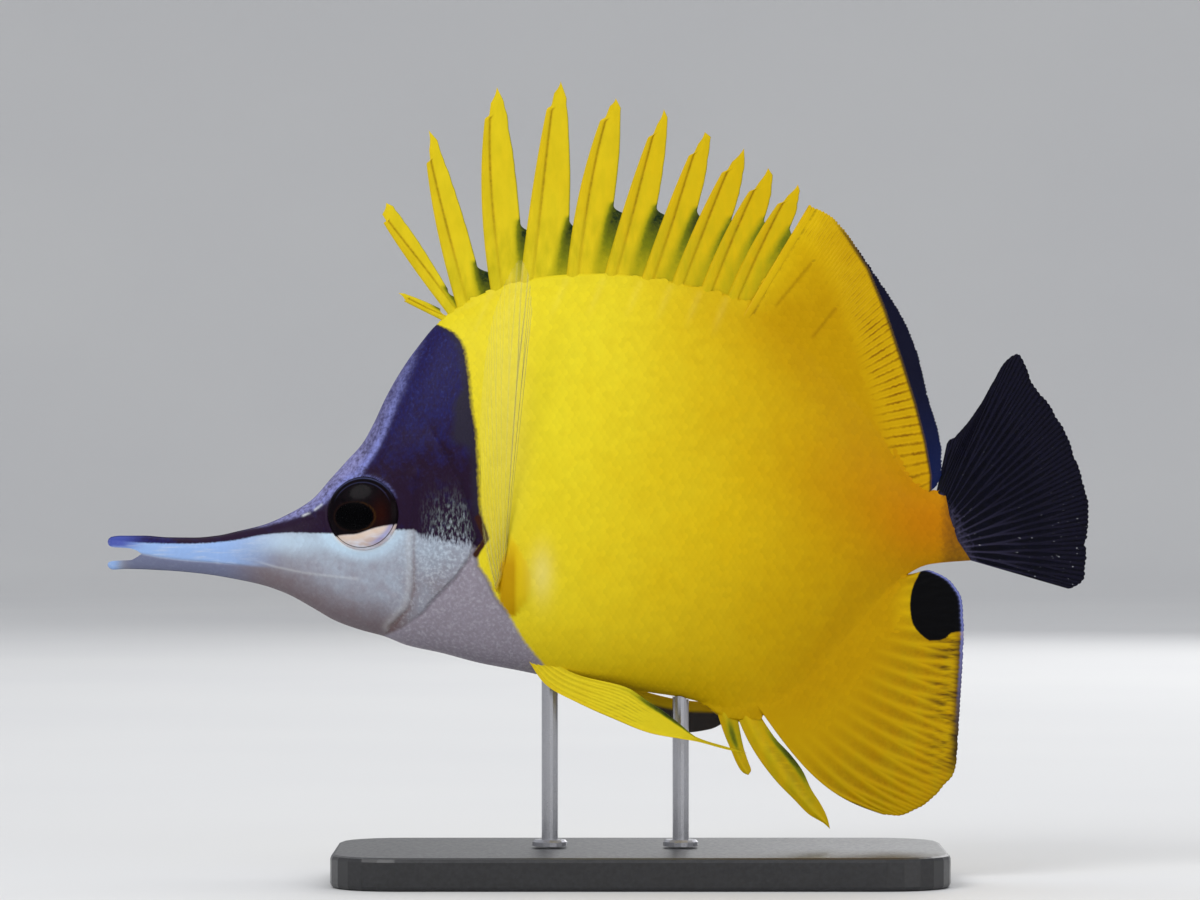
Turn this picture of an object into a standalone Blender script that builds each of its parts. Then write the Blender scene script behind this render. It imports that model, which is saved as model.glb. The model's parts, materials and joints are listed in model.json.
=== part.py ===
"""Longnose butterflyfish, life size, held still on a plain display stand.

The fish looks towards -X and its left side faces -Y. Its shape is drawn in the side view:
`a` runs back from the tip of the snout, `h` runs up from the line through the mouth,
and `y` is the distance out from the middle plane. Sizes are in millimetres until an
object is made.
"""

import math

import bmesh
import bpy
import numpy as np

MM = 0.001
GAP = 0.3  # left between two pieces that meet
SNOUT_X = -97.5  # tip of the snout, from the middle of the stand
AXIS_Z = 60.0  # line through the mouth, above the floor
LEFT, RIGHT = -1, 1
FAR_OUT = 25.0  # cutters reach this far to each side

# The body, as (a, size) along the fish
BACK = [
    (0.0, 2.2), (0.9, 2.9), (2.4, 3.1), (6.6, 3.1), (11.0, 2.8), (16.0, 2.75), (20.0, 3.1),
    (24.2, 4.0), (28.6, 5.1), (33.0, 7.0), (37.4, 9.7), (41.0, 13.7), (44.0, 17.0),
    (46.6, 19.9), (48.8, 23.8), (50.8, 28.1), (53.0, 32.1), (56.0, 36.6), (59.8, 41.0),
    (66.0, 44.6), (74.0, 47.3), (82.0, 48.6), (90.0, 48.8), (98.0, 48.2), (106.0, 46.7),
    (112.0, 45.2), (118.0, 42.9), (124.0, 39.6), (130.0, 35.2), (136.0, 29.2), (141.0, 22.6),
    (145.0, 16.4), (148.0, 12.8), (151.0, 11.3), (154.0, 11.3), (159.0, 12.0),
]
BELLY = [
    (0.0, -2.0), (1.0, -2.9), (3.5, -2.8), (11.0, -3.1), (17.6, -3.7), (24.2, -4.8),
    (28.6, -5.8), (33.0, -7.4), (37.4, -9.8), (41.8, -12.3), (46.2, -13.9), (50.6, -15.1),
    (55.0, -16.8), (60.9, -18.1), (68.2, -20.0), (75.5, -21.4), (82.9, -22.9), (90.2, -24.0),
    (97.5, -25.1), (104.9, -26.2), (109.4, -27.3), (115.0, -28.6), (121.0, -28.0),
    (126.8, -24.6), (132.3, -19.4), (137.8, -13.2), (142.4, -7.8), (146.1, -4.1),
    (150.7, -1.9), (159.0, -1.0),
]
HALF_WIDTH = [
    (0.0, 1.2), (1.0, 1.75), (7.0, 1.9), (15.0, 2.2), (24.0, 2.8), (30.0, 3.6), (36.0, 4.9),
    (42.0, 6.3), (47.0, 7.3), (53.0, 8.3), (60.0, 9.4), (68.0, 10.4), (76.0, 10.9),
    (86.0, 11.0), (96.0, 10.5), (106.0, 9.4), (116.0, 8.0), (126.0, 6.4), (136.0, 4.9),
    (146.0, 3.6), (152.0, 3.0), (159.0, 2.5),
]
WIDEST_LEVEL = [
    (0.0, 0.2), (24.0, 0.0), (36.0, 1.0), (47.0, 3.0), (56.0, 3.5), (66.0, 4.0), (80.0, 5.0),
    (100.0, 7.0), (120.0, 7.5), (140.0, 6.0), (159.0, 5.0),
]
# Half the width of the flat strip along the back and the belly, where the fins stand
BACK_EDGE = [
    (0.0, 0.3), (40.0, 0.5), (58.0, 0.9), (64.0, 1.2), (112.0, 1.2), (146.0, 0.9), (159.0, 0.8),
]
BELLY_EDGE = [(0.0, 0.3), (60.0, 0.5), (108.0, 0.7), (116.0, 1.0), (145.0, 0.9), (159.0, 0.8)]
# How a cross-section narrows: 0.5 is round, 1 is sharp
BACK_TAPER = [
    (0.0, 0.5), (36.0, 0.55), (50.0, 0.66), (64.0, 0.85), (100.0, 0.92), (140.0, 0.9),
    (152.0, 0.7), (159.0, 0.65),
]
BELLY_TAPER = [
    (0.0, 0.5), (50.0, 0.55), (80.0, 0.56), (104.0, 0.66), (118.0, 0.85), (140.0, 0.9),
    (152.0, 0.7), (159.0, 0.65),
]
FLANK_POWER = 2.2  # above 2 the flanks are flatter than an ellipse's

# Where the body is parted, as (a, h) lines seen from the side
MOUTH_TOP = [(-1.5, 2.4), (0.3, 1.75), (1.5, 1.15), (3.8, 0.95), (5.2, 0.6), (6.3, 0.1)]
MOUTH_LOW = [(-1.5, -1.9), (0.3, -1.75), (1.9, -1.4), (4.1, -1.3), (5.1, -0.9), (6.3, -0.3)]
MOUTH_LINE = [(6.0, -0.1), (9.5, -0.7), (14.0, -1.25), (18.3, -1.6)]
JAW_END, SNOUT_END, STALK_START = 18.0, 33.5, 146.5
GILL_SLIT = [
    (57.6, 46.0), (59.6, 40.6), (63.5, 35.0), (65.4, 28.0), (66.3, 20.7), (67.4, 13.4),
    (68.9, 7.6), (69.3, 3.8), (68.2, -0.9), (65.2, -5.2), (60.8, -9.8), (57.2, -12.9), (54.6, -20.0),
]
TAIL_ROOT = [(152.8, 15.5), (153.05, 11.5), (153.8, 7.0), (155.3, 2.4), (157.6, -1.0), (159.2, -4.0)]

# Eyes, gill covers and nostrils
EYE_AT = (47.0, 7.4)
EYE_RADIUS, EYE_DEPTH, EYE_BULGE = 6.2, 3.1, 1.2
RIM_RADIUS, RIM_THICKNESS = 6.75, 0.5
NOSTRILS = [(38.9, 8.3), (37.2, 7.3)]
NOSTRIL_RADIUS = 0.5
COVER_OUTLINE = [
    (57.2, 14.0), (59.4, 16.4), (62.2, 16.3), (64.4, 13.2), (66.0, 8.4), (67.8, 5.0), (67.2, 2.2),
    (66.2, -0.6), (63.4, -4.6), (59.6, -8.6), (57.0, -10.8), (56.0, -5.9), (56.3, 0.0), (56.6, 7.0),
]
COVER_MIDDLE = (61.2, 3.4)
COVER_RAISED, COVER_DEPTH = 0.35, 0.9

# Dorsal spines, front to back: root, top of the front edge, tip, top of the rear edge, and the
# notch where the web leaves the next spine, then how far the front edge bows forward
DORSAL_SPINES = [
    ((59.8, 43.4), (54.0, 46.5), (53.2, 47.7), (54.4, 47.6), (60.9, 44.8), 0.0),
    ((62.0, 44.2), (49.9, 62.1), (51.0, 64.2), (52.3, 63.6), (62.3, 48.4), 0.3),
    ((63.9, 45.3), (58.5, 73.9), (58.8, 77.5), (60.3, 75.7), (67.6, 53.0), 0.7),
    ((70.2, 47.9), (69.8, 82.5), (71.3, 85.4), (72.6, 82.9), (75.6, 60.6), 1.3),
    ((75.5, 49.4), (81.4, 84.3), (83.0, 86.5), (84.1, 83.4), (84.6, 61.2), 0.4),
    ((84.0, 50.0), (91.6, 81.9), (93.1, 83.4), (94.0, 81.6), (92.7, 63.8), 1.2),
    ((90.7, 50.0), (100.3, 78.6), (101.9, 81.4), (102.6, 79.9), (100.6, 63.4), 0.4),
    ((97.5, 49.5), (107.8, 75.0), (109.4, 77.2), (110.5, 76.3), (108.0, 62.9), 0.3),
    ((103.0, 48.7), (114.0, 71.7), (116.6, 74.2), (116.8, 72.2), (114.3, 61.2), 0.5),
    ((108.3, 47.5), (119.0, 68.0), (121.0, 70.6), (121.9, 69.3), (120.3, 61.2), 0.7),
    ((113.2, 46.4), (124.3, 65.6), (126.5, 67.6), (126.8, 66.4), (125.0, 59.6), 0.7),
]
SHEATH_START, SHEATH_END, SHEATH_HEIGHT = 59.9, 115.2, 2.4
SOFT_DORSAL_ROOT = (116.2, 150.0)  # where its first and last rays leave the back
SOFT_DORSAL_MARGIN = [
    (128.6, 64.0), (132.9, 61.6), (138.2, 54.9), (143.3, 47.3), (146.1, 42.6), (148.5, 36.8),
    (150.7, 27.7), (152.3, 22.4), (153.0, 17.8), (152.8, 14.2), (151.9, 12.3),
]
SOFT_DORSAL_RAYS = 24

# Anal spines as the dorsal ones, then the soft fin from its leading ray round to the tail
ANAL_SPINES = [
    ((112.0, -28.4), (115.8, -39.2), (117.1, -40.1), (118.0, -38.7), (116.9, -33.6), 0.0),
    ((115.4, -30.0), (129.0, -48.0), (132.0, -50.2), (132.2, -47.5), (126.9, -39.6), 0.0),
]
SOFT_ANAL_ROOT = (118.6, 145.4)
SOFT_ANAL_MARGIN = [
    (142.0, -48.0), (144.6, -48.2), (149.0, -46.6), (153.0, -43.1), (155.5, -39.4),
    (156.0, -33.0), (156.4, -26.0), (157.0, -14.0), (156.6, -8.6), (155.0, -5.6), (152.6, -3.8),
    (150.3, -3.1), (147.6, -3.9),
]
SOFT_ANAL_RAYS = 18

TAIL_MARGIN = [
    (153.9, 20.6), (156.4, 22.6), (160.2, 27.7), (162.4, 31.6), (164.8, 35.4), (166.9, 36.7),
    (168.4, 34.6), (169.4, 31.6), (172.5, 27.7), (175.4, 23.1), (177.4, 18.5), (179.2, 13.0),
    (180.3, 8.0), (179.9, 2.0), (179.7, -3.6), (178.8, -5.6), (176.6, -6.7),
]
TAIL_RAYS = 19
TAIL_BEND = 0.0072  # how far the tail swings away from the viewer, times the squared distance

# Side fins: root middle and the tips of their rays, front to back
PECTORAL_ROOT = [(71.4, -4.2), (72.4, -1.6), (73.2, -0.6), (74.0, -1.2), (74.4, -3.4)]
PECTORAL_TIPS = [
    (68.6, 13.0), (68.4, 22.0), (69.0, 32.0), (70.6, 42.0), (73.2, 49.6), (75.9, 53.4),
    (77.5, 50.0), (78.0, 44.0),
]
PECTORAL_RAYS = 14
PECTORAL_LOBE_AT, PECTORAL_LOBE = (73.2, -6.4), (2.6, 2.2, 4.6)
PECTORAL_OUT, PECTORAL_FLARE = 0.5, 0.075  # clear of the flank at the root, and its slope outwards
PELVIC_ROOTS = {LEFT: [(77.2, -22.2), (80.6, -21.8)], RIGHT: [(80.6, -21.8), (77.2, -22.2)]}
PELVIC_TIPS = {
    LEFT: [(117.1, -36.3), (109.0, -32.2), (104.6, -29.8), (101.6, -28.0), (99.2, -26.6), (95.0, -24.8)],
    RIGHT: [(119.8, -31.7), (114.6, -31.9), (111.0, -33.2), (106.0, -33.8), (101.0, -32.8), (95.0, -31.4)],
}
PELVIC_BOW = {LEFT: -0.05, RIGHT: 0.03}
PELVIC_RAYS = 6
PELVIC_OUT, PELVIC_FLARE = 3.4, 0.11
PELVIC_LOBE = (3.4, 1.5, 1.9)

# Display stand
BASE_SIZE, BASE_CORNER, BASE_BEVEL = (112.0, 58.0, 6.0), 12.0, 0.8
ROD_AT, ROD_RADIUS = (81.0, 105.0), 1.5
COLLAR_RADIUS, COLLAR_HEIGHT = 3.2, 1.2

ROOT_SINK, WEB_OVERLAP, FLAG_BULGE = 1.0, 0.4, 0.25  # of the spines and their webs

# Where the rows of a fin's grid lie, as shares of its rays' length
SOFT_ROWS = (0, 0.16, 0.42, 0.74, 1)
TAIL_ROWS = (0, 0.12, 0.36, 0.7, 1)
PECTORAL_ROWS = (0, 0.15, 0.4, 0.72, 1)
PELVIC_ROWS = (0, 0.2, 0.5, 0.8, 1)

# Thickness of fins, as half of it
MEMBRANE, MARGIN, RAY_RIDGE = 0.27, 0.17, 0.2


def curve(points, at):
    """A smooth line through (place, value) points that never overshoots them."""
    places, values = np.array(points, float).T
    steps = np.diff(places)
    slopes = np.diff(values) / steps
    tangents = np.zeros(len(places))
    tangents[0], tangents[-1] = slopes[0], slopes[-1]
    same = slopes[:-1] * slopes[1:] > 0
    tangents[1:-1][same] = 2 / (1 / slopes[:-1][same] + 1 / slopes[1:][same])
    at = np.clip(np.asarray(at, float), places[0], places[-1])
    k = np.clip(np.searchsorted(places, at) - 1, 0, len(steps) - 1)
    t = (at - places[k]) / steps[k]
    blend = t * t * (3 - 2 * t)
    bend = steps[k] * t * (1 - t) * (tangents[k] * (1 - t) - tangents[k + 1] * t)
    return values[k] * (1 - blend) + values[k + 1] * blend + bend


def path(points, at):
    """Points on a smooth line through 2-D points, for shares of its length from 0 to 1."""
    points = np.array(points, float)
    along = np.concatenate([[0], np.cumsum(np.linalg.norm(np.diff(points, axis=0), axis=1))])
    along /= along[-1]
    return np.stack([curve(list(zip(along, points[:, i])), at) for i in (0, 1)], axis=-1)


def section(a, grow=0.0):
    """The cross-section at a: top, bottom, widest level, half width, edge halves and tapers."""
    return (
        curve(BACK, a) + grow,
        curve(BELLY, a) - grow,
        curve(WIDEST_LEVEL, a),
        curve(HALF_WIDTH, a) + grow,
        curve(BACK_EDGE, a) + grow,
        curve(BELLY_EDGE, a) + grow,
        curve(BACK_TAPER, a),
        curve(BELLY_TAPER, a),
    )


def half_width(a, h, grow=0.0):
    """Distance from the middle plane to the skin at (a, h)."""
    top, low, level, width, top_edge, low_edge, top_taper, low_taper = section(a, grow)
    above = np.asarray(h) > level
    reach = np.where(above, top - level, level - low)
    share = np.clip(np.abs(h - level) / reach, 0, 1)
    edge = np.where(above, top_edge, low_edge)
    taper = np.where(above, top_taper, low_taper)
    return edge + (width - edge) * (1 - share**FLANK_POWER) ** taper


def placed(points):
    """Points (a, y, h) as world positions in metres."""
    points = np.asarray(points, float).reshape(-1, 3)
    return (points + (SNOUT_X, 0.0, AXIS_Z)) * MM


def material(name, colour, roughness, metallic=0.0):
    made = bpy.data.materials.new(name)
    made.use_nodes = True
    shader = made.node_tree.nodes["Principled BSDF"]
    shader.inputs["Base Color"].default_value = (*colour, 1.0)
    shader.inputs["Roughness"].default_value = roughness
    shader.inputs["Metallic"].default_value = metallic
    made.diffuse_color = (*colour, 1.0)
    return made


def solid(name, points, faces, finish=None):
    """A closed mesh object from (a, y, h) points."""
    mesh = bpy.data.meshes.new(name)
    mesh.from_pydata(placed(points).tolist(), [], [list(map(int, f)) for f in faces])
    tidy = bmesh.new()
    tidy.from_mesh(mesh)
    bmesh.ops.recalc_face_normals(tidy, faces=tidy.faces)
    tidy.to_mesh(mesh)
    tidy.free()
    mesh.update()
    made = bpy.data.objects.new(name, mesh)
    bpy.context.scene.collection.objects.link(made)
    if finish:
        dress(made, finish)
    return made


def dress(obj, finish):
    obj.data.materials.clear()
    obj.data.materials.append(finish)
    obj.data.shade_smooth()
    obj.data.set_sharp_from_angle(angle=math.radians(40))


def combine(first, others, operation):
    """Joins or cuts the first object with the others, which are then removed."""
    tools = bpy.data.collections.new("tools")
    bpy.context.scene.collection.children.link(tools)
    for tool in others:
        tools.objects.link(tool)
    modifier = first.modifiers.new("combine", "BOOLEAN")
    modifier.operation = operation
    modifier.operand_type = "COLLECTION"
    modifier.collection = tools
    modifier.solver = "EXACT"
    graph = bpy.context.evaluated_depsgraph_get()
    mesh = bpy.data.meshes.new_from_object(first.evaluated_get(graph))
    first.modifiers.clear()
    first.data = mesh
    for tool in others:
        bpy.data.objects.remove(tool)
    bpy.data.collections.remove(tools)
    return first


def shells(obj):
    """The separate closed surfaces of an object, each as a set of face numbers, largest first."""
    mesh = bmesh.new()
    mesh.from_mesh(obj.data)
    mesh.faces.ensure_lookup_table()
    unseen, found = set(range(len(mesh.faces))), []
    while unseen:
        stack, shell = [unseen.pop()], set()
        while stack:
            face = stack.pop()
            shell.add(face)
            for edge in mesh.faces[face].edges:
                for other in edge.link_faces:
                    if other.index in unseen:
                        unseen.remove(other.index)
                        stack.append(other.index)
        found.append(shell)
    areas = {id(s): sum(mesh.faces[f].calc_area() for f in s) for s in found}
    mesh.free()
    return sorted(found, key=lambda s: -areas[id(s)])


def shell_object(obj, shell, name):
    """A new object that holds only the named faces of another."""
    mesh = bmesh.new()
    mesh.from_mesh(obj.data)
    mesh.faces.ensure_lookup_table()
    dropped = [f for f in mesh.faces if f.index not in shell]
    bmesh.ops.delete(mesh, geom=dropped, context="FACES")
    data = bpy.data.meshes.new(name)
    mesh.to_mesh(data)
    mesh.free()
    made = bpy.data.objects.new(name, data)
    bpy.context.scene.collection.objects.link(made)
    return made


def largest_only(obj, finish):
    """Keeps an object's largest closed surface."""
    name = obj.name
    kept = shell_object(obj, shells(obj)[0], name + "_kept")
    bpy.data.objects.remove(obj)
    kept.name = name
    dress(kept, finish)
    return kept


def band(tops, lows):
    """A cutter between two lines of (a, h) points, right across the fish."""
    points = [(a, y, h) for pair in zip(tops, lows) for a, h in pair for y in (-FAR_OUT, FAR_OUT)]
    faces = [(0, 1, 3, 2), tuple(len(points) - 4 + k for k in (2, 3, 1, 0))]
    for i in range(len(tops) - 1):
        k = 4 * i
        faces += [(k, k + 4, k + 5, k + 1), (k + 2, k + 3, k + 7, k + 6)]
        faces += [(k, k + 2, k + 6, k + 4), (k + 1, k + 5, k + 7, k + 3)]
    return solid("cutter", points, faces)


def thin_cut(line):
    """A cutter one gap wide along a line of (a, h) points."""
    line = np.array(line, float)
    ahead = np.gradient(line, axis=0)
    across = np.stack([-ahead[:, 1], ahead[:, 0]], axis=1)
    across *= GAP / 2 / np.linalg.norm(across, axis=1)[:, None]
    return band((line + across).tolist(), (line - across).tolist())


def upright_cut(a):
    return thin_cut([(a, 55.0), (a, 20.0), (a, -10.0), (a, -35.0)])


def body(name, stations, side_points, grow=0.0):
    """The whole flesh of the fish as one closed tube of cross-sections."""
    turn = np.linspace(0, math.pi, side_points)
    rings = []
    for a in stations:
        top, low, level = section(a, grow)[:3]
        share = np.cos(turn)
        h = np.where(share >= 0, level + share * (top - level), level + share * (level - low))
        y = half_width(a, h, grow)
        left = np.stack([np.full(side_points, a), -y, h], axis=1)
        right = left[::-1] * (1, -1, 1)
        rings.append(np.concatenate([left, right]))
    around = 2 * side_points
    faces = []
    for here in range(0, (len(stations) - 1) * around, around):
        for j in range(around):
            k = (j + 1) % around
            faces.append((here + j, here + k, here + around + k, here + around + j))
    faces += [tuple(range(around)), tuple(range((len(stations) - 1) * around, len(stations) * around))]
    return solid(name, np.concatenate(rings), faces)


def body_stations(grow=0.0):
    """Close together on the face, wider on the trunk."""
    return np.concatenate([
        [-grow, 0.35, 1.0, 2.2, 4.4, 7.0, 10.0, 13.5, 17.0, 20.5, 24.0],
        np.linspace(27.0, 66.0, 24),
        np.linspace(68.5, 150.0, 31),
        [153.0, 156.0, 159.0 + grow],
    ])


def eye_frame(side):
    """The point on the skin at an eye's middle, and its axes: out, back and up."""
    a, h = EYE_AT
    reach = 4.5
    y = half_width(a, h)
    slope_a = (half_width(a + reach, h) - half_width(a - reach, h)) / (2 * reach)
    slope_h = (half_width(a, h + reach) - half_width(a, h - reach)) / (2 * reach)
    out = np.array([-slope_a, 1.0, -slope_h])
    out /= np.linalg.norm(out)
    back = np.array([1.0, slope_a, 0.0])
    back /= np.linalg.norm(back)
    up = np.cross(back, out)
    flip = np.array([1.0, side, 1.0])
    return np.array([a, y, h]) * flip, out * flip, back * flip, up * flip


def ball(name, middle, axes, radii, around, along, finish=None):
    """An ellipsoid about a middle, with its poles on the first axis."""
    points, faces = [middle + axes[0] * radii[0]], []
    for i in range(1, along):
        tilt = math.pi * i / along
        for j in range(around):
            turn = 2 * math.pi * j / around
            flat = math.cos(turn) * radii[1] * axes[1] + math.sin(turn) * radii[2] * axes[2]
            points.append(middle + math.cos(tilt) * radii[0] * axes[0] + math.sin(tilt) * flat)
    points.append(middle - axes[0] * radii[0])
    last = len(points) - 1
    for j in range(around):
        k = (j + 1) % around
        faces.append((0, 1 + j, 1 + k))
        faces.append((last, last - around + k, last - around + j))
        for i in range(along - 2):
            row = 1 + i * around
            faces.append((row + j, row + j + around, row + k + around, row + k))
    return solid(name, np.array(points), faces, finish)


def eyeball(name, side, grow, finish=None, around=20, along=8):
    middle, out, back, up = eye_frame(side)
    centre = middle - out * (EYE_DEPTH - EYE_BULGE)
    radii = (EYE_DEPTH + grow, EYE_RADIUS + grow, EYE_RADIUS + grow)
    return ball(name, centre, (out, back, up), radii, around, along, finish)


def eye_rim(side, segments=20, sides=5):
    """A raised ring on the skin round an eye."""
    _, out, back, up = eye_frame(side)
    points, faces = [], []
    for i in range(segments):
        turn = 2 * math.pi * i / segments
        ray = math.cos(turn) * back + math.sin(turn) * up
        a, h = EYE_AT[0] + ray[0] * RIM_RADIUS, EYE_AT[1] + ray[2] * RIM_RADIUS
        centre = np.array([a, side * half_width(a, h), h])
        for j in range(sides):
            roll = 2 * math.pi * j / sides
            points.append(centre + RIM_THICKNESS * (math.cos(roll) * ray + math.sin(roll) * out))
    for i in range(segments):
        for j in range(sides):
            k, m = (i + 1) % segments, (j + 1) % sides
            faces.append((i * sides + j, i * sides + m, k * sides + m, k * sides + j))
    return solid("rim", np.array(points), faces)


def cover_plate(name, side, grow, raised, depth, finish=None):
    """A curved plate that follows the cheek inside the gill cover's outline."""
    outline = path(COVER_OUTLINE + COVER_OUTLINE[:1], np.linspace(0, 1, 21)[:-1])
    middle = np.array(COVER_MIDDLE)
    spokes = outline - middle
    spokes += grow * spokes / np.linalg.norm(spokes, axis=1)[:, None]
    shares = (1.0, 0.9, 0.55)
    around = len(outline)
    points, faces = [], []
    for face_side in (1, -1):
        for i, share in enumerate(shares):
            ring = middle + spokes * share
            skin = half_width(ring[:, 0], ring[:, 1])
            lift = raised * (0.5 if i == 0 and depth <= COVER_DEPTH else 1.0) if face_side > 0 else -depth
            points += [(a, side * (y + lift), h) for (a, h), y in zip(ring, skin)]
        lift = raised if face_side > 0 else -depth
        points.append((middle[0], side * (half_width(*middle) + lift), middle[1]))
    rings = len(shares)
    back_start = rings * around + 1
    for start, centre in ((0, rings * around), (back_start, back_start + rings * around)):
        for j in range(around):
            k = (j + 1) % around
            for i in range(rings - 1):
                here, there = start + i * around, start + (i + 1) * around
                faces += [(here + j, here + k, there + k), (here + j, there + k, there + j)]
            inner = start + (rings - 1) * around
            faces.append((inner + j, inner + k, centre))
    for j in range(around):
        k = (j + 1) % around
        faces += [(j, k, back_start + k), (j, back_start + k, back_start + j)]
    return solid(name, np.array(points), faces, finish)


def sheet(name, middle, half, finish=None):
    """A closed thin solid about a grid of middle points, both faces split alike."""
    columns, rows = half.shape
    along = np.gradient(middle, axis=0)
    up = np.gradient(middle, axis=1)
    out = np.cross(along, up)
    out /= np.linalg.norm(out, axis=2)[:, :, None]
    points = np.concatenate([
        (middle + out * half[:, :, None]).reshape(-1, 3),
        (middle - out * half[:, :, None]).reshape(-1, 3),
    ])
    other = columns * rows
    faces = []
    for i in range(columns - 1):
        for j in range(rows - 1):
            a, b, c, d = i * rows + j, (i + 1) * rows + j, (i + 1) * rows + j + 1, i * rows + j + 1
            faces += [(a, b, c), (a, c, d)]
            faces += [(other + c, other + b, other + a), (other + d, other + c, other + a)]
    border = [i * rows for i in range(columns)]
    border += [(columns - 1) * rows + j for j in range(1, rows)]
    border += [i * rows + rows - 1 for i in range(columns - 2, -1, -1)]
    border += [j for j in range(rows - 2, 0, -1)]
    for a, b in zip(border, border[1:] + border[:1]):
        faces += [(b, a, other + a), (b, other + a, other + b)]
    return solid(name, points, faces, finish)


def flat_to_space(flat, side_way):
    """(a, h) points with a sideways distance, as (a, y, h)."""
    return np.stack([flat[..., 0], side_way, flat[..., 1]], axis=-1)


def ray_fan(bases, tips, rows, root_half, scallop=0.6, ray_bow=0.0):
    """Middle points in the side view and half thicknesses of a fin with ridged rays.

    Every second column is a ray. bases and tips hold one (a, h) point for each column.
    """
    rows = np.array(rows)[None, :, None]
    pull = np.zeros(len(bases))
    pull[1::2] = scallop
    length = np.linalg.norm(tips - bases, axis=1)
    tips = tips - (tips - bases) * (pull / length)[:, None]
    flat = bases[:, None] * (1 - rows) + tips[:, None] * rows
    flat[..., 1] += ray_bow * np.sin(math.pi * rows[..., 0]) * length[:, None]
    share = rows[..., 0]
    thin = np.clip(share / 0.35, 0, 1) ** 0.7
    half = root_half[:, None] * (1 - thin) + MEMBRANE * thin
    half = np.where(share > 0.99, MARGIN, half)
    ridge = np.zeros(len(bases))
    ridge[::2] = RAY_RIDGE
    half = half + ridge[:, None] * np.sin(math.pi * np.clip(share * 0.9 + 0.05, 0, 1))
    return flat, half


def outward(points, line, distance):
    """Points moved away from the body along the normal of an outline of (a, h) points."""
    step = 0.5
    ahead = curve(line, points + step) - curve(line, points - step)
    normal = np.stack([-ahead, np.full(len(points), 2 * step)], axis=1)
    normal /= np.linalg.norm(normal, axis=1)[:, None]
    return np.stack([points, curve(line, points)], axis=1) + normal * np.reshape(distance, (-1, 1))


def beside(line, level, distance):
    """A point on a line of (a, h) points at a level, moved off it to its left."""
    order = np.argsort(line[:, 1])
    heights, places = line[order, 1], line[order, 0]
    k = int(np.clip(np.searchsorted(heights, level), 1, len(heights) - 1))
    ahead = np.array([places[k] - places[k - 1], heights[k] - heights[k - 1]])
    ahead /= np.linalg.norm(ahead)
    at = places[k - 1] + (level - heights[k - 1]) * ahead[0] / ahead[1]
    return np.array([at, level]) + np.array([-ahead[1], ahead[0]]) * distance


def front_edge(spine):
    """The line up the front of a spine."""
    root, top = np.array(spine[0], float), np.array(spine[1], float)
    ahead = (top - root) / np.linalg.norm(top - root)
    forward = np.array([-abs(ahead[1]), ahead[0] * np.sign(ahead[1])])
    share = np.linspace(0, 1, 5)[:, None]
    bowed = root + (top - root) * share + forward * spine[5] * 4 * share * (1 - share)
    return np.concatenate([[root - ahead * ROOT_SINK], bowed])


def spine_blade(number, spines, last_edge):
    """A spine with the flag of skin behind it, and the web that reaches the next spine."""
    root, _, tip, rear_top, notch, _ = (np.array(v, float) for v in spines[number])
    front = front_edge(spines[number])
    if number + 1 < len(spines):
        following, inside = front_edge(spines[number + 1]), -WEB_OVERLAP
    else:
        following, inside = last_edge, GAP + 0.1
    low = front[0] + (0, np.sign(tip[1]) * 0.3)
    rear = [beside(following, level, inside) for level in (low[1], (low[1] + notch[1]) / 2, notch[1])]
    bulge = np.array([FLAG_BULGE, 0.0])
    rear += [notch * 0.6 + rear_top * 0.4 + bulge, rear_top]
    up = np.concatenate([[0], np.cumsum(np.linalg.norm(np.diff(front, axis=0), axis=1))])
    notch_share = np.clip((notch[1] - front[0, 1]) / (front[-1, 1] - front[0, 1]), 0.1, 0.8)
    shares = np.array([0.0, notch_share * 0.5, notch_share, notch_share * 0.55 + 0.45, 1.0])
    columns = []
    for share, back in zip(shares, rear):
        here = np.array([np.interp(share * up[-1], up, front[:, i]) for i in (0, 1)])
        columns.append([here, here * 0.82 + back * 0.18, here * 0.62 + back * 0.38, back])
    across = (rear_top - front[-1]) / np.linalg.norm(rear_top - front[-1]) * 0.3
    columns.append([tip - across, tip - across * 0.4, tip + across * 0.4, tip + across])
    flat = np.array(columns).transpose(1, 0, 2)
    taper = np.append(shares, 1.1)
    half = np.full(flat.shape[:2], MEMBRANE)
    half[1] = 0.75 - 0.42 * taper
    half[0] = 0.34 - 0.12 * taper
    half[:, -1] = MARGIN
    return sheet(f"blade_{number}", flat_to_space(flat, np.zeros(flat.shape[:2])), half)


def sheath(line, start, end, way):
    """The scaly skirt along the roots of the spines."""
    along = np.linspace(start, end, 2 + round((end - start) / 2.6))
    grow = np.clip((along - start) / 4.0, 0.35, 1.0)
    rows = [outward(along, line, way * (GAP + rise * grow)) for rise in (0.0, 1.2, SHEATH_HEIGHT)]
    flat = np.stack(rows, axis=1)
    half = np.tile([1.05, 0.95, 0.5], (len(along), 1))
    return sheet("sheath", flat_to_space(flat, np.zeros(flat.shape[:2])), half)


def fuse(name, pieces, finish):
    """One object from overlapping pieces, kept one gap clear of the body."""
    first, *others = pieces
    first.name = name
    combine(first, others, "UNION")
    combine(first, [flesh_cutter()], "DIFFERENCE")
    return largest_only(first, finish)


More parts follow.
